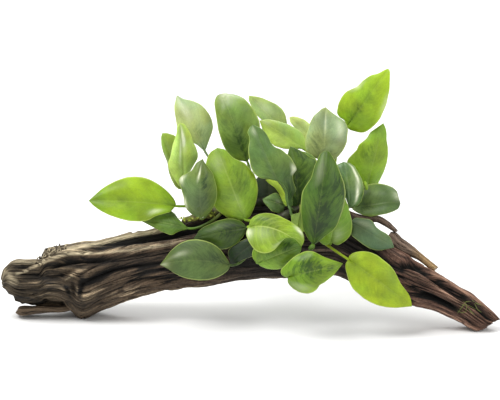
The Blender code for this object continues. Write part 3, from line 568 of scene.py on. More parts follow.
print("a row of fibre heights, mm:", np.round(fibres(np.arange(5) * 3.0, np.zeros(5)), 2))

# %% [markdown]
# Now the trunk itself. Each section is a superellipse between its top and bottom edge. Creases,
# furrows and fibres push its points in or out. Both ends are torn, so the last few millimetres
# are pulled back by noise, fibre by fibre. What lies below the floor is pressed flat on it, and
# the left end's underside is chipped away in steps.

# %% The trunk
TRUNK_STEPS, TRUNK_SIDES = 400, 240
FRONT_CROWDING = 28.0    # degrees: points stand about three times as close in front as behind
FRONT_EDGE = (-0.02, 0.12)         # cosines of the angle between which the front begins
FIBRES_END = (156.0, 10.0)         # mm from the middle, and mm that they fade over
LEFT_TEAR, RIGHT_TEAR = (147.0, 155.0), (138.0, 154.0)     # mm out: torn from, torn fully
TEARS = [(1.8, 31, 3.2), (0.8, 32, 1.6)]     # grain in mm, seed, depth in mm
MEAN_TEAR = 2.0          # mm taken off again, so that some fibres stand out
LEFT_TEAR_SHARE = 0.7    # the left end is torn less
LEFT_HOLLOW, RIGHT_HOLLOW = 1.2, 3.0         # mm that the ends' middles lie further in
LEFT_CHIPS = [           # how far left the wood goes at most, and at what height in the view
    (-142.6, 9.8), (-144.8, 11.8), (-147.6, 12.3), (-148.6, 16.2), (-151.6, 16.7), (-153.6, 19.8),
    (-155.6, 21.0), (-160.0, 24.0)]
# How much paler the back half of the top is painted.
TOP_PALENESS = 0.6           # on the back half of the top, left of the plant


def squared(turn, power):
    """What a circle grows by to be a superellipse: (|cos|^p + |sin|^p)^(-1/p)."""
    return (abs(np.cos(turn)) ** power + abs(np.sin(turn)) ** power) ** (-1.0 / power)


def trunk_surface(place, angle, lift):
    """Points of the trunk and their lift in mm. Place counts sections and angle is in degrees:
    middle + half height * sin - half depth * cos, grown by the superellipse's factor and by
    lift over the section's mean radius. Lift is an array, or a function of places."""
    numbers = smooth_at([(*s.top, *s.bottom, s.depth, s.half_depth) for s in TRUNK], place)
    top_x, top_up, bottom_x, bottom_up, depth, half_depth = np.moveaxis(numbers, -1, 0)
    turn = np.radians(angle)
    grow = squared(turn, WOOD_SQUARENESS)
    across, up = (top_x + bottom_x) / 2, (top_up + bottom_up) / 2
    lean, rise = (top_x - bottom_x) / 2, (top_up - bottom_up) / 2
    radius = (np.hypot(lean, rise) + half_depth) / 2
    push = lift
    if callable(lift):
        high = grow * np.sin(turn)
        push = lift(across, angle, across + lean * high, up + rise * high)
    grow = grow * (1.0 + push / radius)
    points = seen_at(across + lean * grow * np.sin(turn), up + rise * grow * np.sin(turn),
                     depth - half_depth * grow * np.cos(turn))
    return points, push


def trunk_lift(middle, angle, across, up):
    """Creases, furrows on the side that faces the viewer, and fibres, all added up."""
    front = smoothstep(np.cos(np.radians(angle)), *FRONT_EDGE)
    end, length = FIBRES_END
    return (crease_height(middle, angle) + front * drawn_height(FURROWS, across, up)
            + fibres(middle, angle) * smoothstep(end - abs(middle), 0.0, length))


middles = np.array([(s.top[0] + s.bottom[0]) / 2 for s in TRUNK])
even = np.linspace(middles[0], middles[-1], TRUNK_STEPS)
places = np.interp(even, middles, np.arange(len(TRUNK)))[:, None]
share = np.arange(TRUNK_SIDES)[None, :] / TRUNK_SIDES
angles = 360.0 * share - FRONT_CROWDING * np.sin(2 * np.pi * share)
places, angles = np.broadcast_arrays(places, angles)
around = np.radians(angles)
trunk_points, trunk_push = trunk_surface(places, angles, trunk_lift)
grain_at = np.stack([np.broadcast_to(even[:, None], angles.shape), WOOD_ROUND * np.cos(around),
                     WOOD_ROUND * np.sin(around)], axis=-1)
pull = -MEAN_TEAR
for size, seed, depth in TEARS:
    torn = noise(0.0, grain_at[..., 1] / size, grain_at[..., 2] / size, seed)
    pull = pull + depth * (0.5 + 0.5 * torn)
x = trunk_points[..., 0] / MM
trunk_points[..., 0] += MM * (pull * smoothstep(-x, *LEFT_TEAR) * LEFT_TEAR_SHARE
                              - pull * smoothstep(x, *RIGHT_TEAR))
trunk_points[..., 2] = np.maximum(trunk_points[..., 2], 0.0)
chip_across, chip_up = zip(*LEFT_CHIPS)
chipped = np.interp(as_seen(trunk_points)[..., 1], chip_up, chip_across) * MM
trunk_points[..., 0] = np.maximum(trunk_points[..., 0], chipped)
left_end = trunk_points[0].mean(axis=0) + (LEFT_HOLLOW * MM, 0, 0)
right_end = trunk_points[-1].mean(axis=0) - (RIGHT_HOLLOW * MM, 0, 0)

trunk_seen = as_seen(trunk_points)
facing = smoothstep(np.cos(around), *FRONT_EDGE)
upward = smoothstep(np.sin(around), 0.6, 0.95) * smoothstep(-even[:, None], 30.0, 70.0)
# Drawn tone on the front: pale for dust and painted light, dark for dirt and painted shade.
tone = facing * drawn_height(TONES, trunk_seen[..., 0], trunk_seen[..., 1])
tone += TOP_PALENESS * upward * (1 - facing)
values = {"height": trunk_push, "fibre": fibres(even[:, None], angles), "tone": tone,
          "grain": grain_at}
trunk = closed_skin("driftwood_body", trunk_points, left_end, right_end, "driftwood",
                    ("driftwood_trunk",), values)
print("trunk points:", trunk_points.shape[:2])
print("lift, mm:", trunk_push.min().round(1), "to", trunk_push.max().round(1))

# %% [markdown]
# The two forks are splinters: thin, flat rods of torn wood. The lower one lies under the thick
# left end, with a strip of wood behind it that stands where there is only shade, so that the gap
# between them shows dark. The upper one leaves the top on the right as a thin arch, and what it
# broke off from, a flat plank, lies above the limb.

# %% The forks
Rod = namedtuple("Rod", "middle half_height half_depth")
ROD_SQUARENESS = 2.6
ROD_ROUND = 9.0          # radius in mm that a rod's grain is laid round
ROD_TEAR, ROD_HOLLOW = 1.3, 1.5    # mm that a torn end, and its middle, lie further in
LOWER_PRONG = [Rod(*row) for row in [
    ((-147.0, 6.9, 8), 0.9, 4), ((-146.0, 6.4, 8), 2.2, 7), ((-143.2, 6.3, 8), 3.0, 8.5),
    ((-137.6, 6.6, 8), 2.8, 9), ((-131.4, 7.1, 8), 2.5, 9), ((-125.2, 7.3, 8), 2.2, 9),
    ((-119.0, 7.4, 8.5), 2.2, 9), ((-112.7, 8.6, 9), 2.2, 8),
]]
# A strip of wood behind the prong, put where there is only shade so that the gap shows dark.
LOWER_SHADE_STRIP = [Rod(*row) for row in [
    ((-136.0, 9.6, 13), 0.8, 3), ((-130.0, 9.6, 13), 1.6, 4), ((-120.0, 9.6, 13), 1.9, 4),
    ((-111.0, 9.6, 13), 1.9, 4),
]]
UPPER_ARCH = [Rod(*row) for row in [
    ((55.0, 68.6, -8), 2.2, 4), ((61.5, 67.0, -8), 2.2, 4), ((69.0, 64.6, -8), 2.1, 4),
    ((75.0, 64.0, -8), 2.2, 4.2), ((80.0, 63.8, -8.5), 2.1, 4.4), ((85.4, 60.8, -9), 1.9, 4.4),
    ((89.0, 58.0, -9.5), 1.5, 4.2), ((92.2, 55.6, -10), 1.1, 3.6),
]]
UPPER_PLANK = [Rod(*row) for row in [
    ((86.6, 54.4, -10), 1.6, 3.6), ((89.2, 52.6, -10), 3.4, 4.2), ((92.2, 49.2, -10.5), 3.9, 4.8),
    ((96.6, 46.2, -11), 3.9, 4.8), ((101.0, 43.6, -11.5), 3.2, 4.8), ((106.0, 40.4, -12), 2.3, 4.8),
    ((112.2, 35.4, -13), 2.1, 4.6), ((116.8, 31.8, -13.5), 1.9, 4.4),
]]


def splinter(name, rods, steps, sides, seed, torn_at_start):
    """Superellipse rings across a smooth middle line, middle + high * sin * rise + deep * cos *
    back, pushed out by fibres. One end is torn back by noise, and the middle of it sunk."""
    table = smooth_line([(*r.middle, r.half_height, r.half_depth) for r in rods], steps)
    middle = seen_at(*table[:, :3].T)
    along = unit(np.gradient(middle, axis=0))[:, None]
    back = -TO_VIEWER
    rise = unit(np.cross(along, back))
    angle = np.arange(sides)[None, :] * 360.0 / sides
    turn = np.radians(angle)
    run = np.linspace(0.0, np.ptp(table[:, 0]) * 1.2, steps)[:, None]
    grain = [run, ROD_ROUND * np.cos(turn), ROD_ROUND * np.sin(turn)]
    grain = np.stack(np.broadcast_arrays(*grain), axis=-1)
    lift = 0.45 * fibres(run * 1.3, angle * 0.5, seed) * np.minimum(1.0, table[:, 3:4] / 2.5)
    grow = squared(turn, ROD_SQUARENESS)
    high = (table[:, 3:4] * grow + lift)[..., None] * MM
    deep = (table[:, 4:5] * grow + lift)[..., None] * MM
    rings = middle[:, None] + high * np.sin(turn)[..., None] * rise
    rings = rings + deep * np.cos(turn)[..., None] * back
    if torn_at_start:
        torn, way = 1.0 - smoothstep(run, 0.0, 4.0), along
    else:
        torn, way = smoothstep(run, run.max() - 5.0, run.max()), -along
    ragged = 1.0 + noise(0.0, grain[..., 1] / 1.3, grain[..., 2] / 1.3, seed + 9)
    rings = rings + way * (ragged * torn * ROD_TEAR * MM)[..., None]
    rings[..., 2] = np.maximum(rings[..., 2], 0.0)
    ends = [rings[0].mean(axis=0), rings[-1].mean(axis=0)]
    which = 0 if torn_at_start else -1
    ends[which] += ROD_HOLLOW * MM * way[which, 0]
    values = {"height": lift * 1.5, "fibre": lift * 2.0, "grain": grain}
    return closed_skin(name, rings, *ends, "driftwood", (), values)


prong = joined("driftwood_lower_splinter", [
    splinter("lower prong", LOWER_PRONG, 130, 60, 40, True),
    splinter("lower web", LOWER_SHADE_STRIP, 80, 40, 41, True)], "driftwood_lower_prong")
strand = joined("driftwood_upper_splinter", [
    splinter("upper plank", UPPER_PLANK, 160, 60, 50, False),
    splinter("upper arch", UPPER_ARCH, 160, 50, 51, False)], "driftwood_upper_strand")
print("splinters:", prong.name, strand.name)

# %% [markdown]
# Where the wood's top has crumbled near the left end, loose fibres stand off it, curled like
# wood wool. Each is a thin tube through three places in the view, laid on the trunk's front.

# %% Loose fibres
THREAD_STEPS, THREAD_SIDES = 10, 6
SHREDS = 90
CRUMBLED = ([-136, -131.5, -128.8, -120, -116], [38.0, 39.6, 43.8, 46.2, 46.8])     # across, top


def on_front(across, up):
    """Depth in mm of the trunk's front at places in the view: that of its nearest point."""
    front = trunk_seen[np.cos(around) > 0.0]
    spots = np.stack([across, up], axis=-1)
    away = np.linalg.norm(front[:, :2] - spots[:, None], axis=-1)
    return front[away.argmin(axis=-1), 2]


def thread(name, places, radius, slot, values=None, depth=None):
    """A thin tube through (across, up, lift) places, lift in mm off the trunk's front or off
    that depth. It is thickest in the middle: radius times 1 - 0.6 t^2 for t from -1 to 1."""
    across, up, lift = smooth_line(places, THREAD_STEPS).T
    line = seen_at(across, up, (on_front(across, up) if depth is None else depth) - lift)
    thick = 1 - 0.6 * np.linspace(-1, 1, THREAD_STEPS) ** 2
    size = radius * thick[:, None] * np.ones((1, THREAD_SIDES))
    return tube_skin(name, line, size, slot, (), values)


rng = np.random.default_rng(8)
starts = rng.uniform(-135.0, -116.0, SHREDS)
heights = np.interp(starts, *CRUMBLED) - rng.uniform(-0.6, 4.2, SHREDS)
tangle = []
for start, height in zip(starts, heights):
    turn, size = rng.uniform(-0.4, 2.0), rng.uniform(1.2, 3.0)
    out_x, out_up = math.cos(turn) * size, math.sin(turn) * size
    places = [(start, height, -0.3),
              (start + 0.6 * out_x + rng.normal(0, 0.4), height + 0.5 * out_up, 0.9),
              (start + out_x, height + 0.7 * out_up + rng.normal(0, 0.5), rng.uniform(-0.2, 0.8))]
    pale_tone = {"tone": np.full((THREAD_STEPS, THREAD_SIDES), rng.uniform(-0.4, 1.0))}
    tangle.append(thread("fibre", places, rng.uniform(0.28, 0.55), "driftwood", pale_tone))
shreds = joined("driftwood_shreds", tangle)
print("loose fibres:", SHREDS)

# %% [markdown]
# ## The rhizome
#
# The rhizome is the plant's creeping stem. It is green where it is young, brown where it is
# old, and swollen between the rings that fallen leaves have left. A tube with a wavy radius
# gives its form.

# %% Rhizome
RHIZOME = [(-43, 62.5, -7), (-29, 66.7, -6), (-15, 70.3, -5.3), (-1, 73, -4.8), (13, 75, -4.4),
           (27, 76, -4), (41, 76, -4), (55, 74.5, -5)]
SIDE_BRANCH = [(41, 74.5, -10.5), (37, 72.5, -16), (29, 69.5, -20), (19, 65, -22.5),
               (11, 61.5, -24), (3, 59, -24)]
RHIZOME_RADIUS, BRANCH_RADIUS = 3.3, 2.7
STEM_SIDES = 36
SWELLING = 0.08
SCAR_STEP = 5.2          # mm from one leaf scar to the next
OLD_END = 0.5            # how much thinner the oldest end is, a share of the radius


def rhizome_piece(name, points, radius, steps, replaced, seed):
    """A tube whose radius swells between leaf scars, 1 + swelling * (1.6 |sin| - 0.9) of the
    length, with bumps from noise. It is rounded off at both ends, like a ball."""
    line = smooth_line(seen_at(*zip(*points)), steps)
    run = run_along(line) / MM
    turn = np.arange(STEM_SIDES) * 2 * np.pi / STEM_SIDES
    wave = abs(np.sin(np.pi * run / SCAR_STEP))
    ends = np.sqrt(np.clip(1 - (1 - np.minimum(run, run[-1] - run) / radius).clip(0) ** 2, 0.02, 1))
    bumps = noise(run[:, None] / 2.0, np.cos(turn) * 2.2, np.sin(turn) * 2.2, seed)
    size = radius * ends[:, None] * (1 + SWELLING * (wave[:, None] * 1.6 - 0.9) + 0.07 * bumps)
    size = size * (1 - OLD_END * (1 - smoothstep(run, 0.0, 20.0)))[:, None]
    scar = np.broadcast_to(np.exp(-(wave / 0.22) ** 2)[:, None], size.shape)
    return tube_skin(name, line, size, "rhizome", (replaced,), {"scar": scar})


stem = rhizome_piece("rhizome_stem", RHIZOME, RHIZOME_RADIUS, 240, "rhizome", 60)
branch = rhizome_piece("rhizome_branch", SIDE_BRANCH, BRANCH_RADIUS, 120, "rhizome_side_branch", 61)
print("rhizome pieces:", stem.name, branch.name)

# %% [markdown]
# ## The roots
#
# Roots run from the rhizome over the wood, pressed to it and held by their fine hairs. Each is
# a tube laid a little above the trunk's surface, found by the same function as the trunk.

# %% Roots
ROOT_STEPS, ROOT_SIDES, ROOT_RADIUS = 70, 10, 0.9
ROOTS = {                # (across, angle round the wood) places
    "root_back_left": [(-30, 112), (-36, 135), (-46, 158), (-58, 182)],
    "root_back_middle": [(2, 112), (0, 138), (-6, 165), (-4, 190), (-10, 212)],
    "root_back_right": [(36, 110), (44, 134), (58, 156), (70, 182)],
    "root_back_far_left": [(-40, 118), (-52, 142), (-66, 160), (-76, 186)],
}


def on_trunk(across, angle, lift):
    """Points above the trunk's back by lift mm, at that place across and angle round it. The
    furrows are only on its front, so how high up the view they are makes no difference."""
    place = np.interp(across, middles, np.arange(len(TRUNK)))
    rise = trunk_lift(across, angle, across, np.zeros_like(across))
    return trunk_surface(place, angle, rise + lift)[0]


def root_piece(name, path, seed):
    """A thin tube over the wood with a slightly uneven radius, thinner towards its tip."""
    across, angle = smooth_line(path, ROOT_STEPS).T
    line = on_trunk(across, angle, ROOT_RADIUS * 0.7)
    uneven = noise(np.arange(ROOT_STEPS)[:, None] / 3.0, np.zeros((1, ROOT_SIDES)), 0.0, seed)
    size = ROOT_RADIUS * np.linspace(1.0, 0.45, ROOT_STEPS)[:, None] * (1 + 0.15 * uneven)
    return tube_skin(name + "_fine", line, size, "root", (name,))


roots = [root_piece(name, path, 70 + i) for i, (name, path) in enumerate(ROOTS.items())]
print("roots:", len(roots))

# %% [markdown]
# Small growth: a few rootlets with moss on them in the hollow of the right limb, and tufts of
# moss where the rhizome's old end lies on the wood.

# %% Rootlets and moss
ROOTLETS = [
    [(129.2, 5.1, 0.3), (132.1, 9.2, 0.7), (134.2, 12.1, 0.8), (137.4, 12.4, 0.4)],
    [(131.8, 10.8, 0.3), (136.2, 10, 0.9), (140.7, 7.6, 0.4)],
    [(138.2, 13.2, 0.3), (142.3, 10.8, 0.8), (145.6, 10, 0.3)],
    [(129.1, 6.8, 0.3), (132.2, 5.5, 0.8), (134.8, 6.4, 0.3)],
    [(136, 8.3, 0.3), (137.9, 5.8, 0.8), (139.8, 4.3, 0.3)],
    [(132.9, 12.7, 0.3), (134.8, 9.6, 0.8), (134.1, 5.8, 0.3)],
    [(139.8, 11.4, 0.2), (141.6, 7.7, 0.7), (144.1, 5.8, 0.2)],
]
rootlets = joined("rootlets_on_limb", [
    thread("rootlet", places, 0.2 if number % 2 else 0.28, "root")
    for number, places in enumerate(ROOTLETS)])
MOSS_PATCHES = [((-39.0, 63.0), (2.6, 0.8)), ((-25.3, 66.2), (2.4, 1.0))]     # middle, spread
TUFTS, MOSS_DEPTH = 22, -9.8       # tufts in a patch, and the depth of the rhizome's front
rng = np.random.default_rng(21)
tufts = []
for across, up in np.vstack([rng.normal(*patch, (TUFTS, 2)) for patch in MOSS_PATCHES]):
    lean = rng.normal(0, 1.3, 2)
    places = [(across, up, 0.0), (across + 0.6 * lean[0], up + 0.7, 1.2),
              (across + lean[0], up + 1.0 + 0.4 * lean[1], 1.8)]
    tufts.append(thread("moss", places, rng.uniform(0.25, 0.5), "root", depth=MOSS_DEPTH))
moss = joined("moss_on_rhizome", tufts)
print("rootlets:", len(ROOTLETS), "and tufts of moss:", len(tufts))

# %% [markdown]
# ## The leaves
#
# A leaf is a petiole and a blade. The blade is leathery, widest near its middle, with a short
# point, two small lobes at its base, a sunk midrib and arching side veins that quilt it a
# little. A leaf stands on the main stem or its side branch, at a share of that stem's length
# and an angle up from its front. Its blade is given by five places: base, middle, tip, and the
# left and right edge beside the middle. Curl bends the outer part down, by that many degrees,
# from that share of the length.

# %% Where the leaves are
Leaf = namedtuple("Leaf", "stem share angle base middle tip left right curl curl_from",
                  defaults=(15, 0.5))
LEAVES = {"leaf_" + name: Leaf(*row) for name, row in {
    "far_left": ("main", 0.13, 60, (-49, 70, -12), (-70, 73.5, -15), (-100, 75.5, -17), (-71.5, 62, -20),
        (-73, 90.5, -8)),
    "left_low": ("main", 0.25, 0, (-39.5, 58.5, -15), (-54.5, 62.5, -14), (-69.5, 67.5, -9),
        (-53.5, 54.5, -17), (-52, 71.5, -6)),
    "left_back": ("main", 0.22, 130, (-40.5, 86, 12), (-49, 103, 15), (-54.5, 118.5, 17), (-55.5, 108, 19),
        (-41.5, 107, 12)),
    "left_upright": ("main", 0.31, 100, (-41.5, 82, 3), (-42, 102, 0), (-42, 124, -4), (-49.5, 107, -3),
        (-33, 102, 7)),
    "top_left": ("main", 0.39, 95, (-28.5, 107, 12), (-36.5, 123.5, 9), (-45, 141.5, 12), (-45, 119.5, 10),
        (-25.5, 129, 14)),
    "top_broad": ("main", 0.47, 90, (-2, 99.5, 6), (-10, 122, 2), (-18.5, 147, 2), (-20.5, 120, 2),
        (4.5, 128, 6), 130, 0.58),
    "centre_wavy": ("side", 0.45, 35, (24, 71.5, -25), (13.5, 95, -20), (1.5, 122.5, -15), (3, 90.5, -22),
        (26, 100.5, -15)),
    "centre_crescent": ("main", 0.665, 5, (22, 75, -13), (18.5, 82, -10), (9.5, 88.5, -9), (15.5, 80.5, -8),
        (22.5, 82.5, -12)),
    "left_front": ("main", 0.18, 30, (-30, 64.5, -22), (-31, 82, -28), (-29.5, 101.5, -25),
        (-44, 83.5, -22), (-20.5, 83, -23)),
    "left_broad": ("side", 0.98, 70, (-4, 64.5, -20), (-11, 83, -20.5), (-21, 108.5, -17), (-24.5, 78, -15),
        (4, 89, -18)),
    "top_back": ("main", 0.66, 115, (26, 113, 30), (13, 126.5, 32), (-1, 141, 34), (8.5, 122.5, 28),
        (18.5, 132, 37)),
    "top_bright": ("main", 0.74, 95, (35, 107, 15), (21.5, 115.5, 14), (6, 125, 12), (17.5, 108.5, 9),
        (26, 122, 21)),
    "top_small": ("main", 0.80, 120, (46.5, 107, 24), (36, 116.5, 27), (25, 127, 28), (32.5, 112.5, 24),
        (40, 121, 31)),
    "top_grey": ("main", 0.88, 100, (45.5, 99.5, 5), (46.5, 115, 2), (47.5, 133.5, 7), (34.5, 113.5, 4),
        (61, 116.5, 6)),
    "top_right": ("main", 0.95, 135, (60.5, 121, 16), (69.5, 133.5, 12), (86, 157.5, 7), (58, 141.5, 18),
        (81, 126, 8)),
    "front_tall": ("side", 0.27, 0, (39, 48, -42), (43, 74, -47), (47, 106.5, -42), (31.5, 75.5, -41),
        (58, 72, -41)),
    "front_behind_tall": ("side", 0.15, -16, (51, 49.5, -34), (52, 66, -37), (53, 88, -31), (40, 64, -34),
        (63.5, 63.5, -32)),
    "front_right": ("side", 0.39, -66, (61, 38.5, -38), (75.5, 28.5, -43), (100.5, 10.5, -40),
        (82.5, 38.5, -38), (67, 17, -45)),
    "front_low": ("side", 0.48, -60, (22.5, 27.5, -47), (36.5, 31, -54), (58, 35.5, -50), (33.5, 44.5, -51),
        (39.5, 18, -52)),
    "front_quilted": ("side", 0.90, -40, (5, 37, -38), (16.5, 41.5, -43), (32.5, 47, -40), (13, 51.5, -37),
        (19.5, 33, -41)),
    "front_bright": ("side", 0.78, 30, (1, 57.5, -42), (14.5, 58, -49), (32.5, 48, -51), (20, 67.5, -43),
        (9, 42.5, -49)),
    "wood_left": ("side", 0.99, -30, (-13.5, 35, -32), (-32, 38, -35), (-57, 35, -27), (-31, 26, -33),
        (-33.5, 52, -30)),
    "wood_upper": ("side", 0.88, 8, (-4.5, 58.5, -25), (-17, 56, -26.5), (-35, 52, -21.5),
        (-15, 45.5, -24.5), (-18.5, 63.5, -21.5)),
    "wood_dark": ("side", 0.66, -80, (5, 51, -26.5), (-4.5, 44.5, -26.5), (-13.5, 35.5, -25),
        (1.5, 39.5, -27), (-10.5, 47, -24.5)),
    "centre_dark": ("main", 0.70, 20, (26, 75.5, -14), (17.5, 75, -18), (7.5, 77, -18), (16, 69, -21),
        (18, 81, -15.5)),
    "centre_back": ("main", 0.76, 12, (32, 79, -11), (30.5, 90.5, -9.5), (24, 109, -8), (23, 88, -11),
        (39.5, 91.5, -7)),
    "centre_shade": ("main", 0.58, 60, (11.5, 82, -4), (11.5, 88.5, -3), (10.5, 98, -2), (4.5, 87.5, -3),
        (18.5, 89, -2)),
    "under_grey": ("main", 0.83, 80, (41.5, 94, -3), (36, 99.5, -2), (29, 106, -2), (33, 96, -3),
        (39.5, 103, -2)),
    "right_folded": ("main", 0.90, 46, (61.5, 71.5, -15), (61, 85, -18), (58, 99.5, -14), (52.5, 84.5, -15),
        (70.5, 84, -12)),
    "right_tall": ("main", 0.99, 95, (72.5, 80, 11), (76.5, 98.5, 9), (83, 124, 11), (61, 102, 9),
        (84.5, 96.5, 14)),
    "right_round": ("main", 1.00, 30, (66, 71.5, -7), (79.5, 72.5, -10), (96, 74.5, -12), (80.5, 87.5, 0),
        (81, 64.5, -16), 80, 0.6),
    "right_low": ("main", 0.96, -5, (62.5, 62, -25.5), (73, 56, -28.5), (90, 46, -28.5), (77, 62.5, -22.5),
        (69, 49, -29.5)),
    "front_hidden": ("side", 0.35, 40, (28.5, 73, -27), (29.5, 65, -29), (31, 56, -31), (34, 64.5, -28),
        (25, 64.5, -29)),
    "back_left": ("main", 0.36, 155, (-8, 85, 14), (-14, 95.5, 34), (-20, 96, 58), (-28, 91.5, 32),
        (0, 92.5, 36)),
    "back_middle": ("main", 0.60, 150, (18, 83.5, 16), (20, 98.5, 38), (22, 103.5, 62), (5, 95, 38),
        (35, 95, 38)),
    "back_right": ("main", 0.91, 160, (48, 83, 14), (51, 94, 34), (52, 97, 54), (37, 91.5, 36),
        (66, 92.5, 32)),
    "back_low_left": ("main", 0.46, 175, (2, 76.5, 28), (-2, 64.5, 40), (-6, 44.5, 46), (-17, 64.5, 36),
        (13, 62.5, 36)),
    "back_low_right": ("main", 0.82, 178, (38, 76.5, 26), (44, 66, 38), (52, 48, 44), (30, 63, 34),
        (58, 67, 34)),
}.items()}
print("leaves:", len(LEAVES))

# %% [markdown]
# The look of each leaf is given apart from its place: its colour, how strongly its veins show,
# how its margin waves, how its halves bulge, how glossy and how mottled it is, and its spots. A
# spot is a soft patch at a share of the length and of the half width, with its two sizes and a
# strength: above 0 it is a painted highlight, a pale glare of light, and below 0 a dark green
# patch, partly the leaf's own colour and partly painted shade. Young leaves are yellow-green, old
# ones are dark or bluish green.

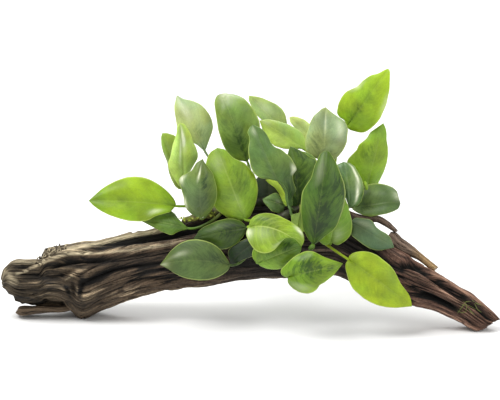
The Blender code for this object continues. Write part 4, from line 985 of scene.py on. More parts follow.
# %% How each leaf looks
# The last field holds the spots: painted highlights above 0, and dark patches below 0 that are partly
# painted shade.
Look = namedtuple("Look", "colour veins wave bulge gloss mottle marks", defaults=((),))
LOOKS = {"leaf_" + name: Look(*row) for name, row in {
    "far_left": ((115, 141, 16), 0.2, 0.01, 0.12, 0.45, 0.15, ((0.24, -0.62, 0.07, 0.16, 0.7),
        (0.12, 0.45, 0.08, 0.35, -0.25))),
    "left_low": ((86, 112, 29), 0.3, 0.02, 0.1, 0.5, 0.4, ((0.2, -0.1, 0.12, 0.5, -0.5),)),
    "left_back": ((119, 143, 46), 0.2, 0.03, 0.1, 0.45, 0.3),
    "left_upright": ((171, 193, 87), 0.7, 0.03, 0.12, 0.6, 0.2, ((0.78, 0.1, 0.16, 0.16, 1.2),
        (0.6, -0.24, 0.18, 0.10, 0.8))),
    "top_left": ((152, 165, 108), 0.35, 0.03, 0.1, 0.5, 0.25, ((0.75, 0.0, 0.2, 0.3, 0.5),
        (0.9, -0.3, 0.15, 0.3, 0.3), (0.3, 0.2, 0.2, 0.3, -0.3))),
    "top_broad": ((107, 130, 50), 0.12, 0.02, 0.1, 0.5, 0.35, ((0.86, 0.2, 0.12, 0.6, 0.6),
        (0.22, 0.05, 0.24, 0.3, -1.0), (0.5, -0.6, 0.15, 0.3, -0.3))),
    "centre_wavy": ((84, 108, 46), 0.1, 0.06, 0.08, 0.6, 0.4, ((0.40, 0.92, 0.05, 0.14, 1.5),
        (0.2, 0.5, 0.16, 0.4, -0.9), (0.93, -0.3, 0.06, 0.3, 0.4), (0.45, -0.3, 0.16, 0.3, -0.3))),
    "centre_crescent": ((207, 232, 84), 0.3, 0.02, 0.1, 0.5, 0.1),
    "left_front": ((87, 105, 50), 0.12, 0.03, 0.14, 0.8, 0.4, ((0.77, -0.14, 0.10, 0.07, 1.3),
        (0.61, -0.9, 0.06, 0.10, 1.1), (0.3, -0.92, 0.07, 0.08, 1.0), (0.6, 0.35, 0.2, 0.3, -0.8),
        (0.25, 0.3, 0.15, 0.4, -0.4))),
    "left_broad": ((110, 136, 29), 0.3, 0.03, 0.12, 0.35, 0.45, ((0.8, -0.3, 0.12, 0.5, 0.2),
        (0.25, 0.1, 0.16, 0.3, 0.1), (0.5, 0.5, 0.2, 0.3, -0.35))),
    "top_back": ((133, 151, 81), 0.3, 0.03, 0.1, 0.5, 0.2, ((0.7, 0.2, 0.15, 0.4, 0.3),)),
    "top_bright": ((150, 174, 77), 0.3, 0.03, 0.1, 0.5, 0.2, ((0.9, 0.3, 0.1, 0.4, 0.3),)),
    "top_small": ((172, 184, 103), 0.3, 0.04, 0.1, 0.5, 0.2),
    "top_grey": ((138, 151, 98), 0.35, 0.03, 0.1, 0.45, 0.35, ((0.6, 0.68, 0.12, 0.16, 0.6),
        (0.72, 0.0, 0.16, 0.06, 0.6), (0.4, -0.5, 0.2, 0.3, -0.4), (0.2, 0.3, 0.1, 0.5, -0.3))),
    "top_right": ((127, 154, 24), 0.15, 0.04, 0.08, 0.4, 0.3, ((0.38, -0.04, 0.16, 0.26, -0.45),
        (0.1, -0.1, 0.12, 0.25, -0.5), (0.6, -0.92, 0.1, 0.14, 0.4), (0.6, 0.92, 0.1, 0.12, 0.4))),
    "front_tall": ((62, 89, 19), 0.1, 0.03, 0.12, 0.55, 0.9, ((0.34, 0.15, 0.2, 0.4, -1.1),
        (0.12, 0.3, 0.1, 0.5, -0.7), (0.62, 0.8, 0.1, 0.25, -0.8), (0.42, 0.6, 0.08, 0.12, 0.25),
        (0.78, -0.35, 0.14, 0.35, 0.2))),
    "front_behind_tall": ((95, 126, 20), 0.6, 0.05, 0.1, 0.5, 0.3, ((0.2, 0.4, 0.12, 0.3, 0.2),)),
    "front_right": ((130, 150, 18), 0.15, 0.015, 0.08, 0.35, 0.2, ((0.4, 0.0, 0.3, 0.12, -0.3),
        (0.5, 0.5, 0.2, 0.3, -0.15))),
    "front_low": ((102, 130, 18), 0.25, 0.07, 0.12, 0.55, 0.8, ((0.45, -0.2, 0.18, 0.45, -1.1),
        (0.3, 0.7, 0.15, 0.25, 0.3), (0.75, 0.2, 0.12, 0.4, -0.5))),
    "front_quilted": ((106, 139, 38), 0.4, 0.05, 0.14, 0.55, 0.8, ((0.72, -0.3, 0.12, 0.3, -0.9),)),
    "front_bright": ((120, 145, 33), 1.0, 0.05, 0.09, 0.25, 0.6, ((0.78, -0.86, 0.07, 0.14, 1.2),
        (0.11, 0.7, 0.07, 0.25, 1.1), (0.3, 0.3, 0.16, 0.25, 0.2), (0.35, -0.6, 0.2, 0.3, -0.5),
        (0.6, 0.8, 0.08, 0.14, 0.3))),
    "wood_left": ((75, 92, 38), 0.1, 0.03, 0.07, 0.1, 0.55, ((0.7, 0.42, 0.12, 0.14, 0.35),
        (0.15, 0.3, 0.14, 0.5, -0.7), (0.95, -0.2, 0.08, 0.5, 0.4))),
    "wood_upper": ((58, 80, 22), 0.1, 0.04, 0.12, 0.5, 0.5, ((0.3, 0.1, 0.2, 0.6, -1.0),)),
    "wood_dark": ((27, 42, 16), 0.1, 0.04, 0.1, 0.5, 0.4),
    "centre_dark": ((88, 110, 48), 0.3, 0.04, 0.1, 0.5, 0.6, ((0.4, 0.2, 0.12, 0.2, 0.3),)),
    "centre_shade": ((65, 74, 54), 0.1, 0.03, 0.1, 0.4, 0.5),
    "centre_back": ((88, 116, 39), 0.15, 0.04, 0.1, 0.4, 0.5, ((0.2, 0.0, 0.35, 0.9, -1.2),
        (0.8, 0.6, 0.15, 0.4, -0.8))),
    "under_grey": ((93, 121, 57), 0.3, 0.03, 0.1, 0.4, 0.3),
    "right_folded": ((93, 117, 62), 0.15, 0.05, 0.14, 0.85, 0.5, ((0.7, 0.72, 0.18, 0.10, 1.7),
        (0.35, 0.55, 0.16, 0.10, 1.5), (0.4, -0.5, 0.25, 0.3, -0.8))),
    "right_tall": ((115, 144, 30), 0.2, 0.05, 0.08, 0.4, 0.35, ((0.57, -0.4, 0.12, 0.3, -0.4),)),
    "right_round": ((78, 98, 43), 0.12, 0.02, 0.10, 0.35, 0.4, ((0.85, -0.55, 0.10, 0.3, 0.6),
        (0.25, 0.2, 0.2, 0.5, -0.5))),
    "right_low": ((75, 96, 58), 0.12, 0.03, 0.1, 0.5, 0.35, ((0.3, -0.5, 0.2, 0.25, 0.2),)),
    "front_hidden": ((131, 162, 45), 0.3, 0.04, 0.1, 0.5, 0.2),
    "back_left": ((104, 136, 54), 0.5, 0.04, 0.1, 0.5, 0.3),
    "back_middle": ((70, 92, 46), 0.5, 0.04, 0.1, 0.5, 0.3),
    "back_right": ((100, 130, 54), 0.5, 0.04, 0.1, 0.5, 0.3),
    "back_low_left": ((84, 112, 48), 0.5, 0.05, 0.1, 0.5, 0.4),
    "back_low_right": ((90, 120, 50), 0.5, 0.05, 0.1, 0.5, 0.4),
}.items()}
print("every leaf has a look:", set(LOOKS) == set(LEAVES))

# %% [markdown]
# No two leaves have the same outline: some are lobed, some wavy, and some end in a long point.
# So the margins that can be seen are drawn one by one, as (across, up) places: the base, the
# left margin, the right margin and the tip. Six leaves, five of them on the back, keep a plain
# oval.

# %% Margins as they are seen
Margin = namedtuple("Margin", "base left right tip")
MARGINS = {"leaf_" + name: Margin(*row) for name, row in {
    "far_left": ((-46.5, 72.1), [(-49.8, 68.3), (-59.6, 65.6), (-62.3, 63.8), (-65, 62.6), (-69.4, 62.3),
        (-75.7, 62.7), (-81.9, 64.2), (-88.2, 66.4), (-93.6, 69.1), (-98, 72.3)], [(-46.4, 73.6),
        (-47.1, 75.8), (-49.8, 79.4), (-53.4, 82.9), (-57.8, 86.1), (-62.8, 88.8), (-66.8, 90.1),
        (-72.1, 90.6), (-77.5, 90.1), (-83.8, 87.9), (-89.1, 85.2), (-93.6, 82.1)], (-100.9, 75.4)),
    "left_low": ((-39, 58.3), [(-39.5, 57.4), (-42.2, 56.9), (-45.8, 55.7), (-47.8, 54.3), (-49.9, 53.9),
        (-55.4, 56)], [(-45.4, 64.7), (-46.8, 67.1), (-49.6, 69.2), (-54, 69.9), (-59.6, 68)],
        (-67.7, 62.4)),
    "left_back": ((-40.5, 86), [(-42.8, 82.4), (-44.9, 82.4), (-47.1, 84.1), (-49.6, 88.7), (-51.3, 93.5),
        (-52, 99.1), (-54.8, 106), (-55.8, 110.2), (-56, 115.1)], [(-39, 87.7), (-38.1, 92.1),
        (-38.4, 98.3), (-39.9, 105.2), (-42.8, 111.1), (-47.5, 116.4), (-52.3, 117.8)], (-55.2, 117.7)),
    "left_upright": ((-41.5, 82.1), [(-45.2, 85.2), (-49, 91.4), (-51.3, 96.4), (-51.3, 99.8),
        (-50.2, 101.9), (-48.5, 110.2), (-46.1, 117.1), (-45.8, 121.6)], [(-39, 86.4), (-37.8, 93.3),
        (-32.8, 101.9), (-32.7, 104.6), (-33.9, 108.8), (-36, 112.3), (-36.7, 115.8), (-38.8, 119.9),
        (-41.2, 123.4)], (-44.1, 123.9)),
    "top_left": ((-28.7, 106.8), [(-30.3, 107.4), (-32.9, 109.9), (-35.9, 111.6), (-41.5, 115.8),
        (-45.9, 121.6), (-47.5, 131.4), (-47.6, 134.9)], [(-27.8, 107.4), (-23.8, 118.5), (-23.2, 121.6),
        (-23.9, 125.5), (-25.3, 128.9), (-28.1, 132.8), (-31.5, 135.9), (-36.4, 138), (-41.9, 139)],
        (-46, 141.4)),
    "left_front": ((-30.9, 64.6), [(-34.3, 65.4), (-37.8, 67.8), (-40.2, 70.6), (-41.4, 74.1),
        (-41.6, 77.6), (-44.5, 87.3), (-44.2, 89.4), (-42.9, 90.8), (-36.7, 93.9), (-33.6, 99.1)],
        [(-27.3, 66.4), (-24.9, 68.5), (-22.8, 71.6), (-21.2, 75.4), (-20.6, 79.6), (-20.8, 83.8),
        (-23.2, 92.1), (-28.4, 99.1)], (-29.6, 101.4)),
    "left_broad": ((-4, 64.4), [(-5.3, 62.4), (-7.2, 61.4), (-11.4, 62.6), (-19.7, 68.5), (-22.5, 71.3),
        (-25.9, 78.9), (-27.8, 88.3), (-28.4, 95.8), (-27, 101.9), (-25.9, 104.3), (-24.6, 106)],
        [(-2.4, 63.6), (-0.3, 65.1), (2.9, 72), (4.2, 76.9), (4.9, 82.4), (4.2, 87.3), (2.5, 92.1),
        (-3.4, 98.9), (-10.3, 101.8), (-13.4, 104.6), (-15.6, 107.4)], (-20.6, 108.3)),
    "top_broad": ((-1.8, 99.6), [(-7.9, 100.5), (-11.7, 102.6), (-14.8, 106), (-17.2, 110.2),
        (-20.1, 119.2), (-22.6, 135.9), (-22.2, 138.7), (-21.1, 140.8), (-20.1, 141.7)], [(1.9, 107.1),
        (4.4, 113.3), (6, 118.9), (6, 123.4), (5.3, 126.2), (1.8, 132.8), (-3.1, 138.7), (-5.8, 140.4),
        (-9.3, 141.7), (-12.1, 142.1)], (-18.1, 141.9)),
    "centre_wavy": ((24.1, 71.4), [(23.5, 77), (23, 81.5), (21, 85.2), (17.6, 87.4), (10.5, 88.8),
        (5.6, 89.4), (2.2, 92.1), (0.1, 96.3), (-1.4, 105.3), (-1.3, 109.5), (-0.4, 112.9), (-0.8, 115.8),
        (-2.2, 117.8), (-0.6, 120.9)], [(26.5, 71.8), (25.9, 77.2), (28.9, 82), (27.4, 85.5), (26.5, 88.5),
        (26.6, 92), (29.3, 94.8), (27.2, 99), (25, 102.6), (21.7, 105.3), (19.2, 107.4), (15, 108.8),
        (12.6, 111.6), (11.6, 114.4), (9.5, 117.8), (6.7, 120.6)], (1.5, 122.7)),
    "top_back": ((26, 113), [(15.4, 118.9), (9.7, 123.3), (3.9, 128.9), (1.8, 131.8), (-1.3, 138.7)],
        [(25.4, 117.1), (23.2, 120.8), (22.9, 125.5), (22, 129.6), (19.9, 133.1), (16.4, 135.9),
        (8.1, 139.7), (3.9, 140.8)], (-0.9, 141.3)),
    "top_bright": ((34.8, 107.1), [(31, 107.8), (24.7, 107.4), (20.6, 107.8), (15, 109.5), (10.4, 113.6),
        (8.2, 117.8)], [(35.4, 110.8), (34.1, 114.6), (32.4, 117.8), (28.2, 120.9), (23.4, 123.4),
        (16.4, 125.5), (10.9, 126.4)], (5.6, 125.5)),
    "top_small": ((46.6, 107.1), [(41, 109.6), (34.8, 113.6), (29.7, 118.6), (24.7, 124.8)], [(46.6, 113.3),
        (42.9, 118.6), (34.1, 126.2), (29.6, 127.9), (26.8, 128.4)], (24.4, 127.8)),
    "top_grey": ((45.4, 99.6), [(42.1, 101.6), (37.9, 102.2), (35.9, 103.9), (34.5, 107.4), (34, 111.6),
        (34.5, 115.8), (37.2, 124.1), (39.3, 128.2), (44.9, 133.1)], [(51.8, 100.4), (55.3, 103.3),
        (58.4, 107.4), (60.2, 111.6), (61, 119.9), (60.5, 122.7), (58.7, 125.1), (51.1, 130.3)],
        (47, 133.8)),
    "top_right": ((60.4, 121.8), [(58.6, 125.9), (55.8, 127.3), (53.9, 130.1), (54.8, 135.7), (57.2, 140.6),
        (59.9, 143.7), (66.9, 146.8), (69.7, 149.9), (72.8, 152.3), (75.6, 153.9), (79.4, 154.6),
        (84.2, 157.3)], [(61.6, 119.7), (68.3, 117.8), (71.4, 117.9), (74.9, 120.1), (78.4, 123.2),
        (81.1, 126.6), (84.8, 135), (86.9, 144.7), (87.2, 156.2)], (86, 157.8)),
    "right_tall": ((72.5, 80.2), [(69.8, 81.4), (65.4, 85.2), (61.6, 93.3), (60.2, 99.8), (61.2, 101.9),
        (66.7, 107.4), (67.4, 110.2), (72.7, 114.4), (74.8, 118.2)], [(75.4, 81), (78.9, 83.8),
        (83.7, 93.5), (85.5, 99.1), (86.2, 103.9), (86.1, 108.8), (85.2, 113.7), (85.3, 117.8),
        (84.5, 121.3)], (83.1, 123.9)),
    "front_tall": ((39, 48), [(35.9, 51.5), (32.4, 58.4), (31, 69.2), (31.7, 79.6), (33.1, 83.1),
        (37.6, 89.4), (39.7, 97), (43.1, 104.3), (44.9, 105.9)], [(41.4, 49.1), (44.8, 52.1), (52.2, 57.4),
        (54.4, 60.8), (57.8, 70.5), (58.9, 75.4), (59.2, 81), (58.4, 85.9), (53.6, 98.4), (49.1, 105.6)],
        (47, 106.4)),
    "front_behind_tall": ((50.1, 49.6), [(48.8, 47.9), (46.6, 47.6), (44.6, 48.3), (41.6, 51.4),
        (39.8, 57.1), (39.1, 64.6), (41, 75.8), (46, 83.9)], [(53.2, 47.8), (54.9, 47.7), (57.8, 49.4),
        (60.5, 51.5), (62.6, 54.3), (63.4, 58.4), (63.3, 62.6), (60.5, 73.1), (56, 83.9)], (53, 88)),
    "front_right": ((61.2, 38.6), [(60.9, 40.4), (62.6, 42.3), (65.4, 43.5), (69.6, 44.1), (74.4, 43.5),
        (79.2, 41.4), (86.9, 35.2), (89.7, 31.7), (93.5, 23.8), (98.7, 17.1), (100.1, 13.3)], [(59.2, 36.9),
        (59, 33.4), (61.2, 25.1), (63.6, 20.6), (70.2, 14.7), (74.4, 12.3), (79.2, 10.2), (84.8, 9),
        (90.4, 8.6)], (100.6, 9.5)),
    "front_low": ((23.5, 28.3), [(21.9, 27.6), (19.6, 28.9), (18.7, 30.7), (18.9, 32.8), (26, 39.9),
        (28.8, 41.9), (33.4, 44), (36.2, 44.4), (39.3, 43.9), (45.9, 40.4)], [(22.9, 25.4), (23.7, 23.4),
        (26.5, 20.6), (30.6, 18.3), (35.5, 17.5), (39, 18.5), (41.4, 20.3), (43.1, 23.1), (45.9, 24.4),
        (51.5, 28.9)], (57.5, 36.4)),
    "front_quilted": ((5.3, 36.8), [(3.2, 37.3), (1.5, 39.4), (0.9, 42.1), (1.5, 44.9), (4.7, 49.6),
        (11, 51.8), (24.7, 53.1), (28.5, 51.7)], [(4.9, 35.8), (6.4, 34.5), (9.8, 33.2), (13.3, 32.6),
        (16.7, 32.6), (21.6, 33.6), (26, 36.4), (29.1, 40.2), (31.5, 44.2)], (31.9, 47.4)),
    "front_bright": ((-0.6, 59.1), [(-0.8, 61.2), (0.1, 63.7), (1.8, 65.4), (4.9, 67.1), (9.1, 67.8),
        (13.3, 67.5), (17.4, 66.3), (24.7, 62.6), (30.6, 58.4), (32.4, 56), (33.3, 53.3), (33.4, 50.2)],
        [(-1.8, 58.1), (-2.7, 56), (-2.7, 53.9), (-1.3, 50.4), (0.8, 47), (3.2, 44.2), (6.4, 42.9),
        (9.8, 42.6), (12.9, 43.5), (15.4, 45.2), (19.6, 50.1), (22, 52.2), (24.7, 52.9), (27.5, 51.9)],
        (31.8, 46.9)),
    "wood_left": ((-12.8, 35.2), [(-13.1, 33.4), (-14.5, 31.4), (-17.2, 29.3), (-21.4, 27.2), (-26.3, 25.9),
        (-31.9, 25.7), (-38.1, 26.5), (-42.9, 27.9), (-47.1, 30), (-51.3, 32.9)], [(-13.2, 37.1),
        (-17.9, 44.2), (-20.8, 47), (-24.2, 49.1), (-28.4, 50.6), (-33.3, 51.5), (-38.8, 51), (-42.9, 49.4),
        (-45.8, 47.6), (-49.2, 44.6)], (-56.4, 35.4)),
    "wood_upper": ((-2.5, 58.6), [(-3.6, 54.7), (-4.7, 52.6), (-6.9, 50.1), (-9.6, 47.7), (-12.4, 46.1),
        (-15.2, 45.2), (-17.9, 44.9), (-22.8, 45.8)], [(-3.4, 60.5), (-5.9, 62.7), (-10.3, 64.2),
        (-14.6, 64.4), (-20.8, 62.8), (-29.1, 59.1), (-32.2, 56.7), (-33.9, 53.6)], (-35.5, 51.9)),
    "wood_dark": ((5, 51), [(7.2, 48.9), (8.2, 45.2), (6.6, 42.4), (-4.1, 38.7), (-9.6, 35.9)],
        [(1.6, 52.1), (-2.8, 51.8), (-7.1, 49.9), (-11.2, 47.4), (-13.7, 44.6), (-13.9, 41.8)],
        (-12.2, 35.6)),
    "right_folded": ((61.5, 71.5), [(56, 85.2), (53.5, 94.6), (53.6, 97.7)], [(64.3, 71.3), (67.1, 72.3),
        (69.2, 74.8), (70.9, 80.3), (70.6, 85.2), (69.2, 89.4), (65, 97), (62.2, 98.8)], (58, 99.6)),
    "right_round": ((64.4, 71.4), [(64.8, 74.9), (67.2, 80.5), (70.4, 83.9), (73.5, 85.6), (77.2, 86.2),
        (81, 86.2), (85.2, 85.3), (89, 83.8), (91.6, 81.4)], [(63.3, 70), (66.7, 67.8), (70.9, 66.1),
        (75.1, 65.4), (84.8, 67.1), (89, 68.5), (92.4, 70.2)], (93.7, 73.4)),
    "right_low": ((62.6, 61.9), [(63.5, 63.6), (65.7, 65), (74.4, 63.9), (76.5, 62.3), (78.3, 59.1),
        (81.4, 56.7), (84.8, 55), (86.9, 52.9), (88.6, 49.4)], [(62.5, 56.4), (62.9, 53.6), (69.6, 48.4),
        (73.7, 45.8), (77.2, 44.6), (80.6, 44.4)], (89.5, 46.1)),
    "centre_crescent": ((22, 72.7), [(21.1, 72.3), (17.8, 80.3), (15, 83.8), (11.5, 86.2)], [(22.8, 74.6),
        (22.9, 78.3), (22.3, 81.7), (20.6, 85.2), (17.1, 87.8), (13.2, 88.6)], (9.5, 88.4)),
    "centre_dark": ((21.3, 72.1), [(20.7, 68.9), (17.9, 67.4), (13.5, 68.6), (8.1, 74.6)], [(18.4, 78.4),
        (16.3, 80.3), (14.3, 80.1)], (7.5, 76.4)),
    "centre_back": ((29, 66), [(24.5, 69), (23.5, 78), (24, 88), (23.2, 97), (22.8, 103), (23.8, 107)],
        [(34, 70), (37.5, 80), (39.5, 90), (41.5, 95.5), (41.5, 101), (37, 102.8), (32.4, 106.1),
        (28.5, 108.1)], (24.8, 109.3)),
    "front_hidden": ((29, 50), [(26, 56), (25.4, 62), (25.5, 66.6)], [(33, 56), (35, 62), (34.5, 67)],
        (31, 68)),
    "centre_shade": ((11.5, 66), [(6, 66.5), (2.5, 70), (1.5, 77), (2, 84), (3.5, 89), (7, 93)], [(18, 66),
        (23, 70), (25, 78), (24.5, 86), (20, 92), (15, 95.5)], (10.4, 96)),
}.items()}
print("leaves with a drawn margin:", len(MARGINS))
print("points on them:", sum(2 + len(m.left) + len(m.right) for m in MARGINS.values()))

# %% [markdown]
# The midrib is a quadratic curve through base, middle and tip. The petiole is a cubic curve
# that leaves the rhizome's skin and runs into the midrib. Both are made as in the solid, so
# that each leaf stays where its solid is. A midrib whose margins are drawn is then moved a
# little, to run from their base to their tip.

# %% Midrib and petiole
STEM_POINTS, MIDRIB_POINTS = 60, 201
GAP = 0.3                # mm that a petiole keeps from the rhizome's solid
PETIOLE_RADIUS, SHEATH_RADIUS = 0.72, 1.2


def bezier(points, t):
    """A curve from the first to the last of three or four points, drawn towards the others:
    a (1-t)^2 + 2b t(1-t) + c t^2, or a (1-t)^3 + 3b t(1-t)^2 + 3c t^2(1-t) + d t^3."""
    t = np.asarray(t, float)[:, None]
    if len(points) == 3:
        a, b, c = points
        return (1 - t) ** 2 * a + 2 * t * (1 - t) * b + t ** 2 * c
    a, b, c, d = points
    return (1 - t) ** 3 * a + 3 * t * (1 - t) ** 2 * b + 3 * t ** 2 * (1 - t) * c + t ** 3 * d


def midrib(leaf):
    """Points of the midrib, the share of its length where the blade is widest, and the blade's
    five places. The curve's pull is what takes it through the middle there, and the steps of
    the outer part turn down by the curl."""
    places = (leaf.base, leaf.middle, leaf.tip, leaf.left, leaf.right)
    base, middle, tip, left, right = (seen_at(*place) for place in places)
    reach = np.linalg.norm(middle - base), np.linalg.norm(tip - middle)
    widest = reach[0] / sum(reach)
    pull = (middle - (1 - widest) ** 2 * base - widest ** 2 * tip) / (2 * widest * (1 - widest))
    fine = np.linspace(0, 1, MIDRIB_POINTS)
    line = bezier((base, pull, tip), fine)
    face = unit(np.cross(tip - base, left - right))
    bend = np.radians(leaf.curl) * np.clip((fine - leaf.curl_from) / (1 - leaf.curl_from), 0, 1)
    steps = np.diff(line, axis=0)
    turn = ((bend[1:] + bend[:-1]) / 2)[:, None]
    down = -face * np.linalg.norm(steps, axis=1, keepdims=True)
    steps = steps * np.cos(turn) + down * np.sin(turn)
    line = np.vstack([line[0], line[0] + np.cumsum(steps, axis=0)])
    return line, widest, (base, middle, tip, left, right)


def moved_to_margins(line, drawn, folded):
    """The midrib moved in the view so that it runs from the drawn base to the drawn tip: the
    shift is start * (1 - s)^2 + end * s^2. Where the tip is folded out of sight, the highest
    point of the fold goes to the drawn tip, and the rest moves with it."""
    seen = as_seen(line)
    top = seen[:, 1].argmax() if folded else len(line) - 1
    share = np.minimum(np.arange(len(line)) / top, 1.0)[:, None]
    start = np.array(drawn.base) - seen[0, :2]
    end = np.array(drawn.tip) - seen[top, :2]
    seen[:, :2] += start * (1 - share) ** 2 + end * share ** 2
    return seen_at(*seen.T)


def margin_line(points, shares):
    """Places at those shares of a drawn margin's length. Each is the mean of five places near
    it, which rounds the corners off."""
    points = np.array(points, float)
    run = run_along(points)
    near = np.minimum(0.02, 0.5 * np.minimum(shares, 1 - shares))
    steps = (-1.0, -0.5, 0.0, 0.5, 1.0)
    return sum(read_at(shares + step * near, run / run[-1], points) / 5 for step in steps)


def petiole_start(leaf):
    """Where the petiole leaves the rhizome's skin, and the way it points there: cos(angle) *
    front + sin(angle) * up, both square to the stem."""
    main = leaf.stem == "main"
    line = smooth_line(seen_at(*zip(*(RHIZOME if main else SIDE_BRANCH))), STEM_POINTS)
    spot = int(round(leaf.share * (STEM_POINTS - 1)))
    along = unit(np.gradient(line, axis=0)[spot])
    front = np.array([0.0, -1.0, 0.0])
    front = unit(front - along * (front @ along))
    up = np.cross(front, along)
    up = up if up[2] > 0 else -up
    turn = math.radians(leaf.angle)
    way = math.cos(turn) * front + math.sin(turn) * up
    radius = RHIZOME_RADIUS if main else BRANCH_RADIUS
    return line[spot] + way * (radius * (1 + 1.5 * SWELLING) + GAP) * MM, way


first_start, _ = petiole_start(LEAVES["leaf_far_left"])
print("petiole of leaf_far_left starts at mm:", np.round(first_start / MM, 1))

# %% [markdown]
# A blade is one closed skin: over the top from the left margin to the right one, and back
# underneath. Four numbers go with each point for the material: the phase of the side veins, the
# distance from the midrib, which side of the blade it is on, and the strength of its spots, which
# are painted highlights above 0 and dark patches below 0, partly painted shade.

# %% A blade
BLADE_STEPS, BLADE_HALF = 72, 18
TIP_POINT = 0.85         # power of a plain oval's point
LEAF_LOBE, LOBE_START = 0.07, 0.08     # lobes of a plain oval, shares of its length
VEIN_PAIRS = 9.0
QUILT, GROOVE, GROOVE_WIDTH, HALF_THICK = 0.11, 0.22, 0.55, 0.26     # mm
FOLDED = 100             # degrees of curl from which a tip is folded out of sight
MIDRIB_ROOM = (0.2, 0.8)           # of the way from the left drawn margin to the right one


def blade_skin(name, leaf, look, seed):
    """Rings over the blade. At share s along the midrib and share u of the half width a point
    is midrib(s) + |u| * width(s) * edge + normal * (bulge * |u|(1-|u|) + ripple + veins), and
    the half thickness is a plate's, rounded at the margin. The lift of a drawn margin points to
    the viewer, so that it doesn't move in the view."""
    line, widest, (base, middle, tip, left, right) = midrib(leaf)
    drawn = MARGINS.get(name)
    if drawn:
        line = moved_to_margins(line, drawn, leaf.curl > FOLDED)
    length = np.linalg.norm(tip - base)
    t = np.linspace(0, np.pi, BLADE_STEPS + 2)[1:-1]
    s = (0.75 * (0.5 - 0.5 * np.cos(t)) + 0.25 * t / np.pi)[:, None]
    half_grid = np.linspace(-1, 1, 2 * BLADE_HALF + 1)
    u = np.sin(half_grid * np.pi / 2) * 0.55 + half_grid * 0.45
    u[0], u[-1] = -1.0, 1.0
    u = np.concatenate([u, u[-2:0:-1]])[None, :]
    top_side = np.concatenate([np.ones(2 * BLADE_HALF + 1), np.zeros(2 * BLADE_HALF - 1)])[None, :]
    away = abs(u)

    rise = TIP_POINT * widest / (1 - widest)
    width = (s / widest) ** rise * ((1 - s) / (1 - widest)) ** TIP_POINT
    spot, numbers = s[:, 0] * (MIDRIB_POINTS - 1), np.arange(MIDRIB_POINTS)
    centre = read_at(spot, numbers, line)
    ways = unit(np.gradient(line, axis=0))
    way = unit(read_at(spot, numbers, ways))
    normal = unit(np.cross(way, left - right))
    edge = np.where((u > 0)[..., None], right - middle, left - middle)
    half_width = np.linalg.norm(edge, axis=-1) * width
    if drawn:
        seen, middle_seen = as_seen(centre), as_seen(middle)
        end = as_seen(line[-1])[:2]
        outlines = [margin_line([drawn.base, *side, end], s[:, 0])
                    for side in (drawn.left, drawn.right)]
        over = outlines[1] - outlines[0]
        share = ((seen[:, :2] - outlines[0]) * over).sum(axis=-1)
        share = share / np.maximum((over ** 2).sum(axis=-1), 1e-6)
        seen[:, :2] += (np.clip(share, *MIDRIB_ROOM) - share)[:, None] * over
        centre = seen_at(*seen.T)
        margin = []
        for flat, place in zip(outlines, (left, right)):
            reach = as_seen(place) - middle_seen
            deep = np.linalg.norm(flat - seen[:, :2], axis=-1) / np.linalg.norm(reach[:2])
            margin.append(seen_at(*flat.T, seen[:, 2] + deep * reach[2]))
        aim = np.where((u > 0)[..., None], margin[1][:, None], margin[0][:, None])
        points = centre[:, None] + away[..., None] * (aim - centre[:, None])
    else:
        points = centre[:, None] + (away * width)[..., None] * edge
        sweep = LEAF_LOBE * length * (1 - s) ** 6 * np.minimum(1.0, s / LOBE_START)
        points = points - ways[0] * (sweep * away ** 1.5)[..., None]

    rng = np.random.default_rng(seed)
    phases = rng.uniform(0, 2 * np.pi, 4)
    vein = VEIN_PAIRS * (s - 0.30 * away ** 1.35) + 0.12 * np.sin(3.0 * s + phases[0]) * np.sign(u)
    quilt = np.cos(2 * np.pi * vein) * away ** 0.6 * (1 - away ** 4) * QUILT * MM * look.veins
    ripple = look.wave * half_width * away ** 3 * (
        np.sin(2 * np.pi * (1.6 * s) + np.where(u > 0, phases[1], phases[2]))
        + 0.5 * np.sin(2 * np.pi * 3.7 * s + phases[3] + np.sign(u)))
    bulge = look.bulge * half_width * (4 * away * (1 - away) - 0.35 * away ** 3)
    groove = -GROOVE * MM * np.exp(-(away * half_width / (GROOVE_WIDTH * MM)) ** 2)
    groove = groove * top_side * smoothstep(1 - s, 0.02, 0.3)
    plate = HALF_THICK * MM * np.sqrt(np.clip(1 - away ** 10, 0, 1)) * smoothstep(s, -0.01, 0.05)
    plate = plate * (0.35 + 0.65 * smoothstep(1 - s, 0.0, 0.08))
    uneven = 0.028 * half_width * noise(
        s * length / (9 * MM) + 7 * seed, u * half_width / (7 * MM), 0.0, seed)
    lift = bulge + ripple + quilt + uneven * away ** 0.5 + groove * (1 - smoothstep(away, 0.4, 0.6))
    push = np.broadcast_to(normal[:, None], points.shape)
    if drawn:
        facing = np.clip(normal @ TO_VIEWER / 0.3, -1.0, 1.0)[:, None]
        push = push + away[..., None] ** 2 * (facing * TO_VIEWER - normal)[:, None]
    points = points + push * lift[..., None] + (
        normal[:, None] * np.where(top_side > 0, plate, -plate)[..., None])

    # Spots: painted highlights above 0, and dark patches below 0 that are partly painted shade.
    mark = np.zeros(points.shape[:2])
    for at_s, at_u, long, wide, strength in look.marks:
        mark += strength * np.exp(-((s - at_s) / long) ** 2 - ((u - at_u) / wide) ** 2)
    grids = {"vein": vein + 20.0, "away": away, "top": top_side, "mark": mark}
    grids = {label: np.broadcast_to(grid, points.shape[:2]) for label, grid in grids.items()}
    skin = closed_skin("blade of " + name, points, line[0], line[-1], "leaf", (), grids)
    return skin, line, centre, normal


print("points of a blade:", BLADE_STEPS * 4 * BLADE_HALF)

# %% [markdown]
# The petiole is a tube that starts inside the rhizome, flares at its sheath, swells a little
# where it meets the blade, and runs on under the blade as the raised midrib.

